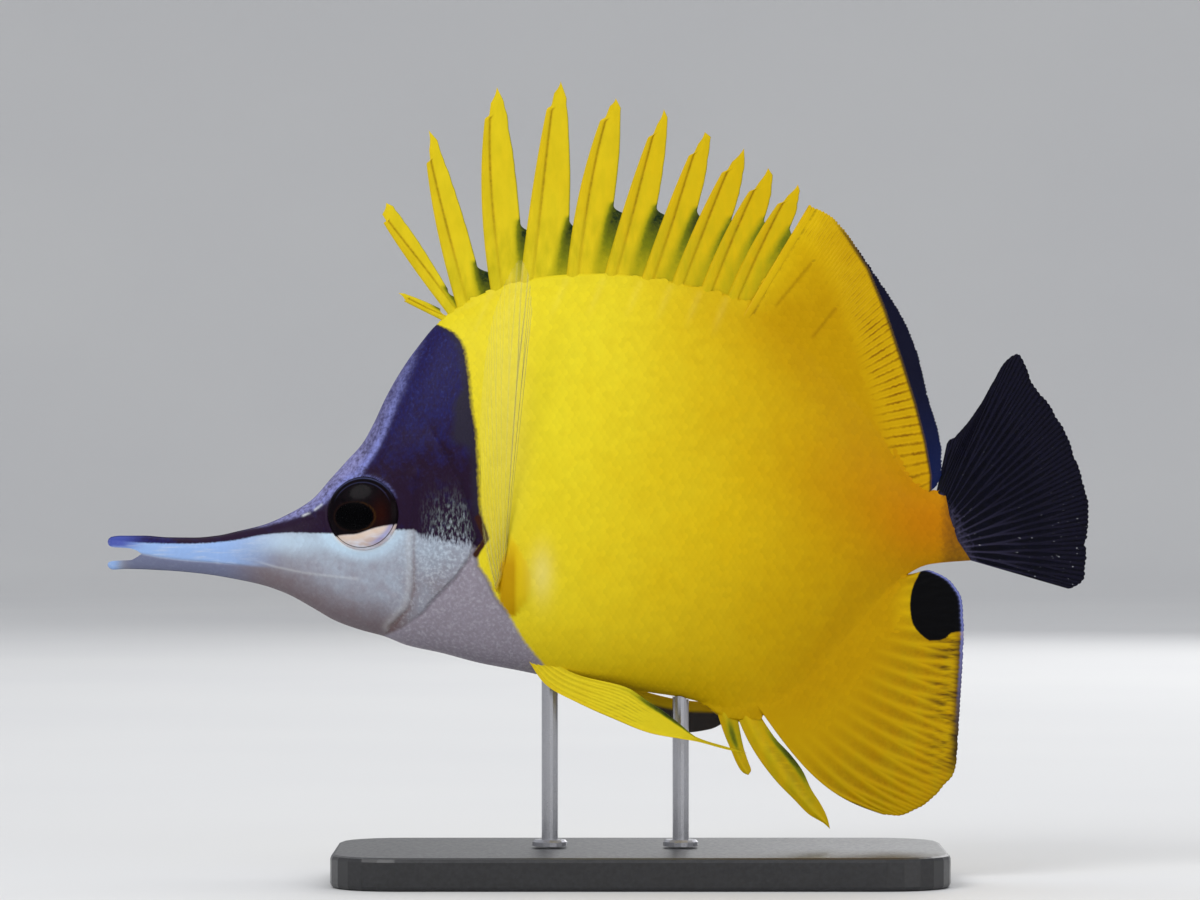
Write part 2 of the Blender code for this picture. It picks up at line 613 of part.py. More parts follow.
def make_flesh(skin):
    """The body as one form, parted by thin cuts into the pieces a person would name."""
    whole = body("whole", body_stations(), 14)
    combine(whole, [eye_rim(LEFT), eye_rim(RIGHT)], "UNION")
    cutters = [band(MOUTH_TOP, MOUTH_LOW), thin_cut(MOUTH_LINE), thin_cut(GILL_SLIT)]
    cutters += [upright_cut(a) for a in (JAW_END, SNOUT_END, STALK_START)]
    root = np.array(TAIL_ROOT)
    cutters.append(band((root - (GAP / 2, 0)).tolist(), (root + (12.0, 0)).tolist()))
    for side in (LEFT, RIGHT):
        cutters.append(eyeball("socket", side, GAP))
        cutters.append(cover_plate("pocket", side, GAP, 4.0, COVER_DEPTH + GAP))
        for a, h in NOSTRILS:
            middle = np.array([a, side * half_width(a, h), h])
            axes = np.eye(3)[[1, 0, 2]]
            cutters.append(ball("nostril", middle, axes, [NOSTRIL_RADIUS] * 3, 8, 5))
    for cutter in cutters:
        combine(whole, [cutter], "DIFFERENCE")
    names = ["trunk", "head", "snout", "tail_stalk", "upper_jaw", "lower_jaw"]
    parts = [shell_object(whole, shell, "flesh") for shell in shells(whole)[: len(names)]]
    bpy.data.objects.remove(whole)
    for name, part in zip(names, parts):
        part.name = name
        dress(part, skin[name])


def make_head_details(skin):
    for side, word in ((LEFT, "left"), (RIGHT, "right")):
        eyeball(f"eye_{word}", side, 0.0, skin["eye"])
        cover_plate(f"gill_cover_{word}", side, 0.0, COVER_RAISED, COVER_DEPTH, skin["gill_cover"])


def soft_fin(line, way, root, spread, margin, rays, bow):
    """The side view and half thicknesses of a soft fin that stands on the back or the belly."""
    share = np.linspace(0, 1, 2 * rays - 1)
    roots = root[0] + (root[1] - root[0]) * share**spread
    bases = outward(roots, line, way * GAP)
    root_half = curve(BACK_EDGE if way > 0 else BELLY_EDGE, roots) * 0.95
    return ray_fan(bases, path(margin, share), SOFT_ROWS, root_half, 0.35, bow)


def make_dorsal(skin):
    flat, half = soft_fin(BACK, 1, SOFT_DORSAL_ROOT, 0.85, SOFT_DORSAL_MARGIN, SOFT_DORSAL_RAYS, 0.0)
    sheet("dorsal_soft", flat_to_space(flat, np.zeros(half.shape)), half, skin["fin"])
    blades = [spine_blade(i, DORSAL_SPINES, flat[0]) for i in range(len(DORSAL_SPINES))]
    fuse("dorsal_spines", [sheath(BACK, SHEATH_START, SHEATH_END, 1), *blades], skin["fin"])


def make_anal(skin):
    flat, half = soft_fin(BELLY, -1, SOFT_ANAL_ROOT, 0.9, SOFT_ANAL_MARGIN, SOFT_ANAL_RAYS, -0.03)
    sheet("anal_soft", flat_to_space(flat, np.zeros(half.shape)), half, skin["fin"])
    blades = [spine_blade(i, ANAL_SPINES, flat[0]) for i in range(len(ANAL_SPINES))]
    fuse("anal_spines", [sheath(BELLY, 110.4, 117.2, -1), *blades], skin["fin"])


def make_tail(skin):
    columns = 2 * TAIL_RAYS - 1
    share = np.linspace(0, 1, columns)
    bases = path(TAIL_ROOT[1:-1], 0.02 + 0.96 * share) + (GAP / 2, 0)
    tips = path(TAIL_MARGIN, share)
    root_half = half_width(bases[:, 0], bases[:, 1]) * 0.85
    flat, half = ray_fan(bases, tips, TAIL_ROWS, root_half, 0.3)
    swing = TAIL_BEND * np.clip(flat[..., 0] - TAIL_ROOT[1][0], 0, None) ** 2
    sheet("tail_fin", flat_to_space(flat, swing), half, skin["tail"])


def make_side_fins(skin):
    for side, word in ((LEFT, "left"), (RIGHT, "right")):
        make_pectoral(side, f"pectoral_{word}", skin["clear_fin"])
        make_pelvic(side, f"pelvic_{word}", skin["fin"])


def flesh_cutter():
    """The body with one gap of clearance round it."""
    return body("flesh", body_stations(GAP), 14, GAP)


def make_pectoral(side, name, finish):
    columns = 2 * PECTORAL_RAYS - 1
    share = np.linspace(0, 1, columns)
    bases, tips = path(PECTORAL_ROOT, share), path(PECTORAL_TIPS, share)
    flat, half = ray_fan(bases, tips, PECTORAL_ROWS, np.full(columns, 0.7), 0.4)
    rise = flat[..., 1] - PECTORAL_ROOT[0][1]
    flat[..., 0] += 1.6 * np.sin(math.pi * np.clip(rise / 58.0, 0, 1)) * share[:, None]
    root_y = half_width(*PECTORAL_ROOT[0])
    out = root_y + PECTORAL_OUT + PECTORAL_FLARE * rise + 0.0006 * rise**2
    blade = sheet("blade", flat_to_space(flat, side * out), half)
    a, h = PECTORAL_LOBE_AT
    middle = np.array([a, side * (half_width(a, h) + 0.2), h])
    axes = np.array([[0, 0, 1.0], [1.0, 0, 0], [0, 1.0, 0]])
    radii = (PECTORAL_LOBE[2], PECTORAL_LOBE[0], PECTORAL_LOBE[1])
    lobe = ball("lobe", middle, axes, radii, 12, 8)
    combine(blade, [lobe], "UNION")
    combine(blade, [flesh_cutter()], "DIFFERENCE")
    blade.name = name
    largest_only(blade, finish)


def make_pelvic(side, name, finish):
    columns = 2 * PELVIC_RAYS - 1
    share = np.linspace(0, 1, columns)
    bases, tips = path(PELVIC_ROOTS[side], share), path(PELVIC_TIPS[side], share)
    flat, half = ray_fan(bases, tips, PELVIC_ROWS, np.full(columns, 0.8), 0.3, PELVIC_BOW[side])
    reach = flat[..., 0] - bases[0, 0]
    out = PELVIC_OUT + PELVIC_FLARE * np.clip(reach, 0, None)
    blade = sheet("blade", flat_to_space(flat, side * out), half)
    a, h = np.mean(PELVIC_ROOTS[side], axis=0)
    middle = np.array([a, side * PELVIC_OUT, h + 0.4])
    axes = np.array([[1.0, 0, -0.25], [0, 1.0, 0], [0.25, 0, 1.0]])
    radii = (PELVIC_LOBE[0], PELVIC_LOBE[1], PELVIC_LOBE[2])
    lobe = ball("lobe", middle, axes, radii, 12, 8)
    combine(blade, [lobe], "UNION")
    combine(blade, [flesh_cutter()], "DIFFERENCE")
    blade.name = name
    largest_only(blade, finish)


def make_stand(skin):
    """A flat base with rounded corners, and two rods up to the belly."""
    length, depth, height = BASE_SIZE
    outline = []
    for turn in range(4):
        sign_a = 1 if turn in (0, 3) else -1
        sign_y = 1 if turn in (0, 1) else -1
        for step in np.linspace(0, math.pi / 2, 7):
            swing = turn * math.pi / 2 + step
            corner_a = sign_a * (length / 2 - BASE_CORNER) + BASE_CORNER * math.cos(swing)
            corner_y = sign_y * (depth / 2 - BASE_CORNER) + BASE_CORNER * math.sin(swing)
            outline.append((corner_a - SNOUT_X, corner_y))
    levels = [0.0, height]
    points = [(a, y, z - AXIS_Z) for z in levels for a, y in outline]
    around = len(outline)
    faces = [tuple(range(around)), tuple(range(around, 2 * around))]
    faces += [(j, (j + 1) % around, around + (j + 1) % around, around + j) for j in range(around)]
    base = solid("stand_base", points, faces, skin["stand_base"])
    bevel = base.modifiers.new("rounded top", "BEVEL")
    bevel.width = BASE_BEVEL * MM
    bevel.segments = 2
    bevel.limit_method = "ANGLE"
    bevel.angle_limit = math.radians(60)
    for a, word in zip(ROD_AT, ("front", "rear")):
        make_rod(a, f"stand_rod_{word}", skin["stand_rod"])


def make_rod(a, name, finish):
    foot = BASE_SIZE[2] - AXIS_Z + GAP
    profile = [
        (COLLAR_RADIUS, foot), (COLLAR_RADIUS, foot + COLLAR_HEIGHT - 0.4),
        (COLLAR_RADIUS - 0.4, foot + COLLAR_HEIGHT), (ROD_RADIUS, foot + COLLAR_HEIGHT), (ROD_RADIUS, -8.0),
    ]
    around = 16
    points = [
        (a + radius * math.cos(2 * math.pi * j / around), radius * math.sin(2 * math.pi * j / around), h)
        for radius, h in profile
        for j in range(around)
    ]
    faces = [tuple(range(around)), tuple(range((len(profile) - 1) * around, len(profile) * around))]
    for i in range(len(profile) - 1):
        for j in range(around):
            k = (j + 1) % around
            faces.append((i * around + j, i * around + k, (i + 1) * around + k, (i + 1) * around + j))
    rod = solid(name, points, faces)
    combine(rod, [flesh_cutter()], "DIFFERENCE")
    largest_only(rod, finish)


def main():
    for obj in list(bpy.data.objects):
        bpy.data.objects.remove(obj)
    yellow = material("yellow_skin", (0.90, 0.72, 0.05), 0.45)
    dark = material("dark_mask", (0.10, 0.07, 0.16), 0.45)
    silver = material("silver_cheek", (0.62, 0.66, 0.74), 0.35)
    fin = material("yellow_fin", (0.88, 0.68, 0.04), 0.5)
    skin = {
        "trunk": yellow,
        "tail_stalk": material("orange_stalk", (0.86, 0.52, 0.04), 0.45),
        "head": dark,
        "snout": silver,
        "upper_jaw": silver,
        "lower_jaw": silver,
        "gill_cover": silver,
        "eye": material("dark_eye", (0.03, 0.02, 0.03), 0.12),
        "fin": fin,
        "clear_fin": material("clear_fin", (0.80, 0.74, 0.35), 0.35),
        "tail": material("dusky_tail", (0.10, 0.10, 0.17), 0.45),
        "stand_base": material("stand_black", (0.03, 0.03, 0.035), 0.35),
        "stand_rod": material("stand_steel", (0.62, 0.62, 0.64), 0.3, 1.0),
    }
    make_flesh(skin)
    make_head_details(skin)
    make_dorsal(skin)
    make_anal(skin)
    make_tail(skin)
    make_side_fins(skin)
    make_stand(skin)


main()
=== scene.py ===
"""Looks of a longnose butterflyfish model on its display stand.

The fish looks towards -X and its left side faces -Y. Its skin, scales and fins are drawn in
the side view: `a` runs back from the tip of the snout, `h` runs up from the line through the
mouth, and `y` is the distance out from the middle plane, all in millimetres. Colours are
mixed in the materials from named paints, by weights that each point of a mesh carries.
"""

import json
import math

import bmesh
import bpy
import numpy as np
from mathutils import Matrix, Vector

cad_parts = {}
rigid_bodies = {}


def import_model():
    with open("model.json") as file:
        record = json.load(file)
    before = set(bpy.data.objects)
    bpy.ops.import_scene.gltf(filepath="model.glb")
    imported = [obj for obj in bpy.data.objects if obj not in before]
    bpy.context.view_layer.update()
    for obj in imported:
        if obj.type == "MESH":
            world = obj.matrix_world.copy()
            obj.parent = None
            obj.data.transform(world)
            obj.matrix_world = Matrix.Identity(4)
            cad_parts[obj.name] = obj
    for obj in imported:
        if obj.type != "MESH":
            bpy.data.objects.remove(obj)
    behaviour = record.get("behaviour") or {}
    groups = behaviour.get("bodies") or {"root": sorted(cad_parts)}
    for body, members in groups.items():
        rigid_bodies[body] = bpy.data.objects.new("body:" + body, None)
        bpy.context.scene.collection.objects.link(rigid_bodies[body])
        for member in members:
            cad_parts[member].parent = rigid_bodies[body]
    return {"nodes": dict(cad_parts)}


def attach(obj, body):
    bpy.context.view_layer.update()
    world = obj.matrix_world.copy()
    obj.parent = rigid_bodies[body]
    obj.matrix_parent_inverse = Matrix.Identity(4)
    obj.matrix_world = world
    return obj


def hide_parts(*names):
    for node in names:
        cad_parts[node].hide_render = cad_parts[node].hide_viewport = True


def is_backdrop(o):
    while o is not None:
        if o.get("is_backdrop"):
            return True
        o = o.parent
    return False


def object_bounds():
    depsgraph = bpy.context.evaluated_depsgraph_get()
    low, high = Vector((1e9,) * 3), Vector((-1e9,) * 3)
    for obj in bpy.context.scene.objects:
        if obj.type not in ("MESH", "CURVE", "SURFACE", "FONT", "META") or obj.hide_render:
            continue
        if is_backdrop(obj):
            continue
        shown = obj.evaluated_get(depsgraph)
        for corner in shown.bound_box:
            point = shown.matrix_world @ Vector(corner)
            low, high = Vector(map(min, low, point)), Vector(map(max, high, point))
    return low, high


MM = 0.001
SNOUT_X, AXIS_Z = -97.5, 60.0
LEFT, RIGHT = -1, 1
SIDES = ((LEFT, "left"), (RIGHT, "right"))

# The body, as (a, size) along the fish
BACK = [
    (0, 2.15), (0.15, 2.5), (0.45, 2.8), (0.9, 2.95), (2.4, 3.1), (6.6, 3.1), (11, 2.8), (16, 2.75),
    (20, 3.1), (24.2, 4), (28.6, 5.1), (33, 7), (37.4, 9.7), (41, 13.7), (44, 17), (46.6, 19.9),
    (48.8, 23.8), (50.8, 28.1), (53, 32.1), (56, 36.6), (59.8, 41), (66, 44.6), (74, 47.3), (82, 48.6),
    (90, 48.8), (98, 48.2), (106, 46.7), (112, 45.2), (118, 42.9), (124, 39.6), (130, 35.2), (136, 29.2),
    (141, 22.6), (145, 16.4), (148, 12.8), (151, 11.3), (154, 11.3), (159, 12),
]
BELLY = [
    (0, -2.15), (0.15, -2.5), (0.45, -2.75), (0.9, -2.92), (3.5, -2.8), (11, -3.1), (17.6, -3.7),
    (24.2, -4.8), (28.6, -5.8), (33, -7.4), (37.4, -9.8), (41.8, -12.3), (46.2, -13.9), (50.6, -15.1),
    (55, -16.8), (60.9, -18.1), (68.2, -20), (75.5, -21.4), (82.9, -22.9), (90.2, -24), (97.5, -25.1),
    (104.9, -26.2), (109.4, -27.3), (115, -28.6), (121, -28), (126.8, -24.6), (132.3, -19.4),
    (137.8, -13.2), (142.4, -7.8), (146.1, -4.1), (150.7, -1.9), (159, -1),
]
HALF_WIDTH = [
    (0, 0.35), (0.15, 0.8), (0.5, 1.3), (1, 1.65), (7, 1.9), (15, 2.2), (24, 2.8), (30, 3.6), (36, 4.9),
    (42, 6.3), (47, 7.3), (53, 8.3), (60, 9.4), (68, 10.4), (76, 10.9), (86, 11), (96, 10.5), (106, 9.4),
    (116, 8), (126, 6.4), (136, 4.9), (146, 3.6), (152, 3), (159, 2.5),
]
WIDEST_LEVEL = [
    (0, 0.2), (24, 0), (36, 1), (47, 3), (56, 3.5), (66, 4), (80, 5), (100, 7), (120, 7.5), (140, 6),
    (159, 5),
]
BACK_EDGE = [(0, 0.3), (40, 0.5), (58, 0.9), (64, 1.2), (112, 1.2), (146, 0.9), (159, 0.8)]
BELLY_EDGE = [(0, 0.3), (60, 0.5), (108, 0.7), (116, 1), (145, 0.9), (159, 0.8)]
BACK_TAPER = [
    (0, 0.5), (36, 0.55), (50, 0.66), (64, 0.85), (100, 0.92), (116, 1.2), (140, 1.25), (150, 0.85),
    (159, 0.65),
]
BELLY_TAPER = [
    (0, 0.5), (50, 0.55), (80, 0.56), (104, 0.7), (114, 1.1), (122, 1.45), (140, 1.5), (150, 0.85),
    (159, 0.65),
]
FLANK_POWER = 2.2
# Where the rings of the skin stand: at the tip, then in steps, then from, to and how many
TIP_RINGS, FACE_STEP, FACE_END = (-0.05, 0.0, 0.06, 0.15, 0.28, 0.45, 0.7), 0.35, 70.0
BODY_RINGS = (70.3, 156.0, 124)
STALK_START, STALK_LENGTH = 148.0, 8.0  # where the skin's rings turn to follow the root of the tail
FLESH_NODES = [
    "trunk", "tail_stalk", "head", "snout", "upper_jaw", "lower_jaw", "gill_cover_left", "gill_cover_right",
]
# Height of the scaly skirt above the back and below the belly, along the fish
KEEL = [
    (0, 0.1), (57.5, 0.15), (60, 0.5), (63, 1.3), (68, 2), (80, 2.5), (90, 2.7), (108, 2.7), (116, 3),
    (122, 2), (126, 0.2), (160, 0.1),
]
LOW_KEEL = [(0, 0.1), (108, 0.2), (112, 1.8), (117, 2.4), (122, 1), (126, 0.1)]
KEEL_EDGE = 0.45

# The mouth, and the lines drawn on the head
MOUTH_TOP = [(0, 1.85), (0.15, 1.55), (0.45, 1.3), (1, 1.12), (3.8, 0.95), (5.2, 0.6), (6.3, -0.1)]
MOUTH_LOW = [(0, -1.9), (0.15, -1.7), (0.45, -1.55), (1, -1.45), (4.1, -1.3), (5.1, -0.9), (6.3, -0.1)]
MOUTH_END = 6.3
SEAM = [
    (6.3, -0.1), (9.5, -0.7), (14, -1.25), (18.3, -1.6), (24, -2.1), (33, -2.6), (46, 0), (60, 3.5),
    (80, 5), (100, 7), (120, 7.5), (140, 6), (159, 5),
]
JAW_GROOVE = [(6, -0.1), (9.5, -0.7), (14, -1.25), (18.3, -1.6), (25, -2.3)]
CHEEK_LINE = [(26.9, -1.3), (31, -2.5), (36, -3.5), (42, -4.2), (46, -4.6)]
PREOPERCLE = [(57, 13.5), (56.6, 8), (56.3, 0), (56.4, -6), (55.4, -10), (52, -13.5)]
OPERCLE = [
    (58.6, 24), (60.9, 20.7), (64.9, 13), (66.4, 7.1), (67.6, 3.1), (66.5, -0.4), (63.6, -4.4),
    (59.6, -8.4), (57.7, -10.8), (54, -13.6), (49.9, -15.4),
]
NOSTRILS = [(38.9, 8.3), (37.2, 7.3)]
# Where the colours change
MASK_REAR = [
    (-20.5, 80.1), (-15.9, 76.4), (-10.3, 73.1), (-7.5, 71.1), (-4.4, 69.7), (-1.6, 68), (0.4, 67.9),
    (3.1, 69.3), (6.4, 68.7), (10.3, 68.2), (16.3, 68), (22.2, 67.6), (26.2, 66.9), (31, 66.4),
    (36.5, 65.6), (39.4, 64.3), (40.9, 62.5), (42.4, 59),
]
DARK_EDGE = [
    (0, 2.5), (5, 2), (10, 1.8), (15, 1.75), (20, 2), (24, 2.5), (28, 3.3), (33.7, 3.8), (41.8, 3.7),
    (53.3, 4.4), (56.5, 4.4), (57.2, 3.5), (61.6, 2.75), (66.4, 2), (68.2, 0.2), (69.6, -0.4), (71, -3),
]
LAVENDER_EDGE = [
    (20, 3.6), (28, 4.8), (33, 6), (35.3, 6.8), (37.5, 7.7), (39.6, 8.9), (42.2, 11.5), (44.5, 13.4),
    (46.5, 14.4), (47.7, 16.3), (49.7, 19.2), (51, 22), (52.5, 26), (53.9, 29.5), (55.7, 34.1), (57.5, 39),
]
BROW = [(20, 0), (25, 0.5), (34, 0.95), (43, 1), (49, 0.7), (53, 0.5), (58, 0.28)]
SLATE_BAR = [(64.8, 21.5), (65.3, 27)]
RUST_LINE = [(67.9, 6.5), (69.6, 2.8), (67.6, 0)]
# Pale streaks beside the nostrils, painted as highlights
PAINTED_NOSE_HIGHLIGHTS = ([(35.9, 6.9), (37, 7.35)], [(38.1, 8), (39.3, 8.9)])

# Eyes
EYE_AT = (47, 7.4)
EYE_RADIUS, EYE_DEPTH, EYE_SUNK = 6.75, 2.2, 0.5
EYE_RING, SOCKET_RADIUS, SOCKET_DEPTH, SCALELESS_RADIUS = 6.95, 5.6, 1.8, 7.7
PUPIL_AT, PUPIL_RADII = (-1.05, -0.75), (3.5, 2.5)

# Spines of the back: root, top of the front edge, tip, top of the rear edge, notch of the web, and bow
DORSAL_SPINES = [
    ((59.8, 43.4), (54, 46.5), (53.2, 47.7), (54.4, 47.6), (60.9, 44.8), 0),
    ((62, 44.2), (49.9, 62.1), (51, 64.2), (52.3, 63.6), (62.3, 48.4), 0.3),
    ((63.9, 45.3), (58.5, 73.9), (58.8, 77.5), (60.3, 75.7), (67.6, 53), 0.7),
    ((70.2, 47.9), (69.8, 82.5), (71.3, 85.4), (72.6, 82.9), (75.6, 60.6), 1.3),
    ((75.5, 49.4), (81.4, 84.3), (83, 86.5), (84.1, 83.4), (84.6, 61.2), 0.4),
    ((84, 50), (91.6, 81.9), (93.1, 83.4), (94, 81.6), (92.7, 63.8), 1.2),
    ((90.7, 50), (100.3, 78.6), (101.9, 81.4), (102.6, 79.9), (100.6, 63.4), 0.4),
    ((97.5, 49.5), (107.8, 75), (109.4, 77.2), (110.5, 76.3), (108, 62.9), 0.3),
    ((103, 48.7), (114, 71.7), (116.6, 74.2), (116.8, 72.2), (114.3, 61.2), 0.5),
    ((108.3, 47.5), (119, 68), (121, 70.6), (121.9, 69.3), (120.3, 61.2), 0.7),
    ((113.2, 46.4), (124.3, 65.6), (126.5, 67.6), (126.8, 66.4), (125, 59.6), 0.7),
]
# Where the rear ones show through the scaly skirt
RIBS = [[root, (root[0] - 3, root[1] - 8)] for root, *_ in DORSAL_SPINES[3:]]
ROD_STEP, ROD_END, WEB_DIP = 0.75, 0.93, 1.6
SOFT_DORSAL_ROOT, SOFT_DORSAL_RAYS = (116.2, 150), 24
SOFT_DORSAL_SPREAD = [(0, 0), (0.25, 0.284), (0.5, 0.497), (0.755, 0.689), (0.9, 0.84), (1, 1)]
SOFT_DORSAL_FRONT = [(116.2, 44), (128.6, 64)]
# Lines where the soft fin of the back folds; the paint darkens along them as painted shade
DORSAL_FOLDS = ([(122.5, 45.4), (129.7, 54.1)], [(129.2, 39.7), (133.5, 45)])
SOFT_DORSAL_MARGIN = [
    (128.6, 64), (132.9, 61.6), (138.2, 54.9), (143.3, 47.3), (146.1, 42.6), (148.5, 36.8), (150.7, 27.7),
    (152.3, 22.4), (153, 17.8), (152.8, 14.2), (151.9, 12.3),
]
DORSAL_BAND = [
    (131.6, 63.4), (135.8, 57.6), (139.3, 52.2), (142.4, 44.7), (145.5, 35.4), (148.1, 27.1), (149.8, 20.5),
    (150.9, 14.3), (150.8, 11),
]
# Spines before the anal fin: front edge and rear edge, from root to tip
ANAL_SPINES = [
    (
        [(111, -27), (112.8, -32.7), (114.2, -36.1), (115.6, -39.2), (116.5, -40.3), (117.4, -40.7)],
        [(115, -27.6), (115.9, -32.7), (116.5, -35.5), (117.4, -38.3), (117.9, -39.8), (117.4, -40.7)],
    ),
    (
        [
            (114.2, -27), (116.8, -33.3), (119, -37.2), (122.4, -41.7), (125.7, -45.1), (128.5, -47.9),
            (131.3, -49.6), (132.4, -50.6),
        ],
        [
            (118.8, -28.6), (122.4, -34), (125.2, -37), (127.4, -40), (128.9, -43.2), (130.9, -46.4),
            (131.9, -48.6), (132.4, -50.6),
        ],
    ),
]
SOFT_ANAL_ROOT, SOFT_ANAL_SPREAD, SOFT_ANAL_RAYS = (118.6, 145.4), 0.9, 18
SOFT_ANAL_BOW = (-0.03, -0.1, 3)  # of all rays, more at the first one, and over how many rays that fades
SOFT_ANAL_MARGIN = [
    (142, -48), (144.6, -48.2), (149, -46.6), (153, -43.1), (155.5, -39.4), (156, -33), (156.4, -26),
    (157, -14), (156.6, -8.6), (155, -5.6), (152.6, -3.8), (150.3, -3.1), (147.6, -3.9),
]
SCALED_ANAL = [(119, -29.5), (131, -36), (146, -14), (147, -3), (147.2, 4)]
SPOT = [
    (148.6, -3.9), (147.4, -6.6), (147, -9.4), (147.4, -12.6), (148.7, -14.6), (151, -16.1), (153.2, -15.8),
    (154.8, -14.5), (157.6, -14.3), (158.6, -9), (156.6, -4.6), (153, -2.2), (149.8, -2.2), (148.6, -3.9),
]
TAIL_ROOT = [(152.8, 15.5), (153.05, 11.5), (153.8, 7), (155.3, 2.4), (157.6, -1), (159.2, -4)]
TAIL_MARGIN = [
    (153.9, 20.6), (156.4, 22.6), (160.2, 27.7), (162.4, 31.6), (164.8, 35.4), (166.9, 36.7), (168.4, 34.6),
    (169.4, 31.6), (172.5, 27.7), (175.4, 23.1), (177.4, 18.5), (179.2, 13), (180.3, 8), (179.9, 2),
    (179.7, -3.6), (178.8, -5.6), (176.6, -6.7),
]
TAIL_RAYS, TAIL_BEND = 19, 0.0072
PECTORAL_ROOT = [(71.4, -5.4), (71.9, -4), (72.3, -2.8), (72.7, -1.5), (73, -0.2)]
PECTORAL_TIPS = [
    (68.6, 13), (68.4, 22), (69, 32), (70.6, 42), (73.2, 49.6), (75.9, 53.4), (77.5, 50), (78, 44),
]
PECTORAL_RAYS, PECTORAL_BOW = 14, 1.0
# The fleshy root of the side fins: its middle and half width at each height, its rise, and where the painted
# shade on its steep front ends
LOBE_MIDDLE = [(-11.5, 74.2), (-9.9, 74.4), (-7.4, 74.8), (-3.5, 74.8), (1, 74.6), (3.2, 73.9)]
LOBE_WIDTH = [(-11.5, 0.3), (-9.9, 1.8), (-7.4, 2.9), (-3.5, 3.05), (1, 1.3), (3.2, 0.5), (4, 0.2)]
LOBE_RISE, LOBE_SHADE_END = 0.9, 75.0
PECTORAL_OUT, PECTORAL_FLARE, PECTORAL_CURL = 0.5, 0.075, 0.0006
# Pelvic fins, as a leading and a trailing edge from root to tip
PELVIC_EDGES = {
    LEFT: (
        [
            (76.6, -18.6), (80.4, -24), (86.3, -27.3), (92.6, -30.1), (99.7, -32.8), (104.7, -33.7),
            (107.8, -34.2), (113.8, -35.75), (117.1, -36.3),
        ],
        [
            (78, -18), (81, -19.6), (86.3, -22.2), (95, -24.4), (99.2, -27.1), (101.6, -28.6),
            (104.7, -31), (107.8, -33.4), (113.8, -35.3), (117.1, -36.3),
        ],
    ),
    RIGHT: (
        [
            (78, -18), (82.6, -20.4), (91.3, -22.9), (99.2, -25.8), (104.7, -27.1), (110.7, -27.8),
            (115.7, -29.2), (119.9, -31.7),
        ],
        [
            (76.6, -18.6), (82, -24), (90, -28), (95.5, -30.8), (101, -32.4), (106, -33.2),
            (110.5, -32.6), (114.6, -31), (119.9, -31.7),
        ],
    ),
}
PELVIC_RAYS, PELVIC_OUT, PELVIC_FLARE = 6, 3.4, 0.11
MEMBRANE, FIN_ROOT, FIN_ROOT_FADE = 0.24, 0.8, 6.5  # half thickness of fins, and its swelling at the root
FIN_SUNK = 1.2  # how deep the roots of fins stand in the flesh

# Scales
SCALE_STEP, FACE_SCALE_STEP = 1.15, 0.8
ROW_SPACING = 0.87  # of the rows of scales, in scale steps
SCALE_SEED, FRAY_SEED = 7, 11
FACE_MARGIN, FACE_START, SCALED_END = 1.5, 34.0, 158.0
BARE_FRINGE = 8.0
# Where the soft fins begin to carry scales, and how far out at most
SCALED_DORSAL_FROM, DORSAL_REACH, SCALED_ANAL_FROM, ANAL_REACH = 117.7, 40.0, 119.0, 14.0
COAT_PIECE_SCALES = 3600
# One scale, row by row from its root: place along it and half width in scale steps, lift in mm
SCALE_ROWS = (-0.75, -0.1, 0.45, 0.8, 0.95)
SCALE_WIDTHS = (0.45, 0.66, 0.62, 0.44, 0.2)
SCALE_LIFTS = (-0.05, 0.01, 0.035, 0.045, 0.044)
SCALE_DOME, SCALE_SKIRT, SCALE_SINK = 0.012, -0.04, 0.05
# The unwrap of each flank: its length and girth in mm, and the half size of a scale's patch on it
UNWRAP_LENGTH, UNWRAP_GIRTH, UNWRAP_BELOW, UNWRAP_SCALE = 165, 150, 70, 0.0018
BLEED = 0.9  # how far the colours follow each point of a scale and not its root

# What the fin paint reads from each point
FIN_FIELDS = (
    "ray", "fringe", "tooth", "comb", "moss", "warm", "gold", "orange", "streak", "web", "band", "deep",
    "spot", "trim", "film", "clear",
)
MIX_FIRST, MIX_SECOND, MIX_RESULT = 6, 7, 2  # the colour sockets of a mix node

# Camera: level with the middle of the fish, square to its left side
CAMERA_AT = (-0.0073, -1.1, 0.0789)
LENS, SENSOR = 180.0, 36.0
FLOOR_RADIUS, WALL_RADIUS, WALL_HEIGHT = 2.2, 3.0, 1.5
# Lamps, each with its place, size and power
FISH_MIDDLE = (0.0, 0.0, 0.08)
LAMPS = {
    "key": ((-0.7, -1.0, 1.0), 0.7, 9.0),
    "fill": ((0.9, -1.1, 0.4), 0.9, 3.0),
    "top": ((0.1, 0.3, 1.4), 0.8, 4.0),
    "rear": ((0.4, 1.2, 0.6), 0.9, 4.0),
}
SKY_COLOUR, SKY_STRENGTH = (0.93, 0.95, 1.0, 1.0), 0.75


def paint(red, green, blue):
    """A colour given in the 0 to 255 steps of a screen, as the light that a material returns."""
    share = np.array([red, green, blue]) / 255
    light = np.where(share <= 0.04045, share / 12.92, ((share + 0.055) / 1.055) ** 2.4)
    return (*light.tolist(), 1.0)


LEMON, YELLOW, GOLD = paint(228, 210, 38), paint(222, 186, 8), paint(190, 146, 0)
ORANGE, AMBER = paint(188, 112, 0), paint(134, 92, 0)
OLIVE, FERN = paint(20, 40, 14), paint(134, 138, 14)
PLUM, INDIGO, SLATE = paint(36, 20, 42), paint(34, 32, 88), paint(42, 38, 54)
LAVENDER, SILVER, MINT = paint(144, 144, 194), paint(152, 152, 164), paint(192, 216, 235)
# pale yellow for painted highlights
HIGHLIGHT_PAINT, GREEN_GREY = paint(238, 226, 150), paint(128, 140, 140)
SNOUT_BLUE, VIOLET, LILAC = paint(148, 180, 230), paint(72, 86, 168), paint(153, 147, 160)
MAUVE, RUST, PEARL = paint(108, 90, 92), paint(58, 30, 22), paint(222, 226, 228)
BAND_BLUE, BAND_DARK, SMOKE = paint(10, 25, 74), paint(10, 11, 36), paint(3, 3, 8)
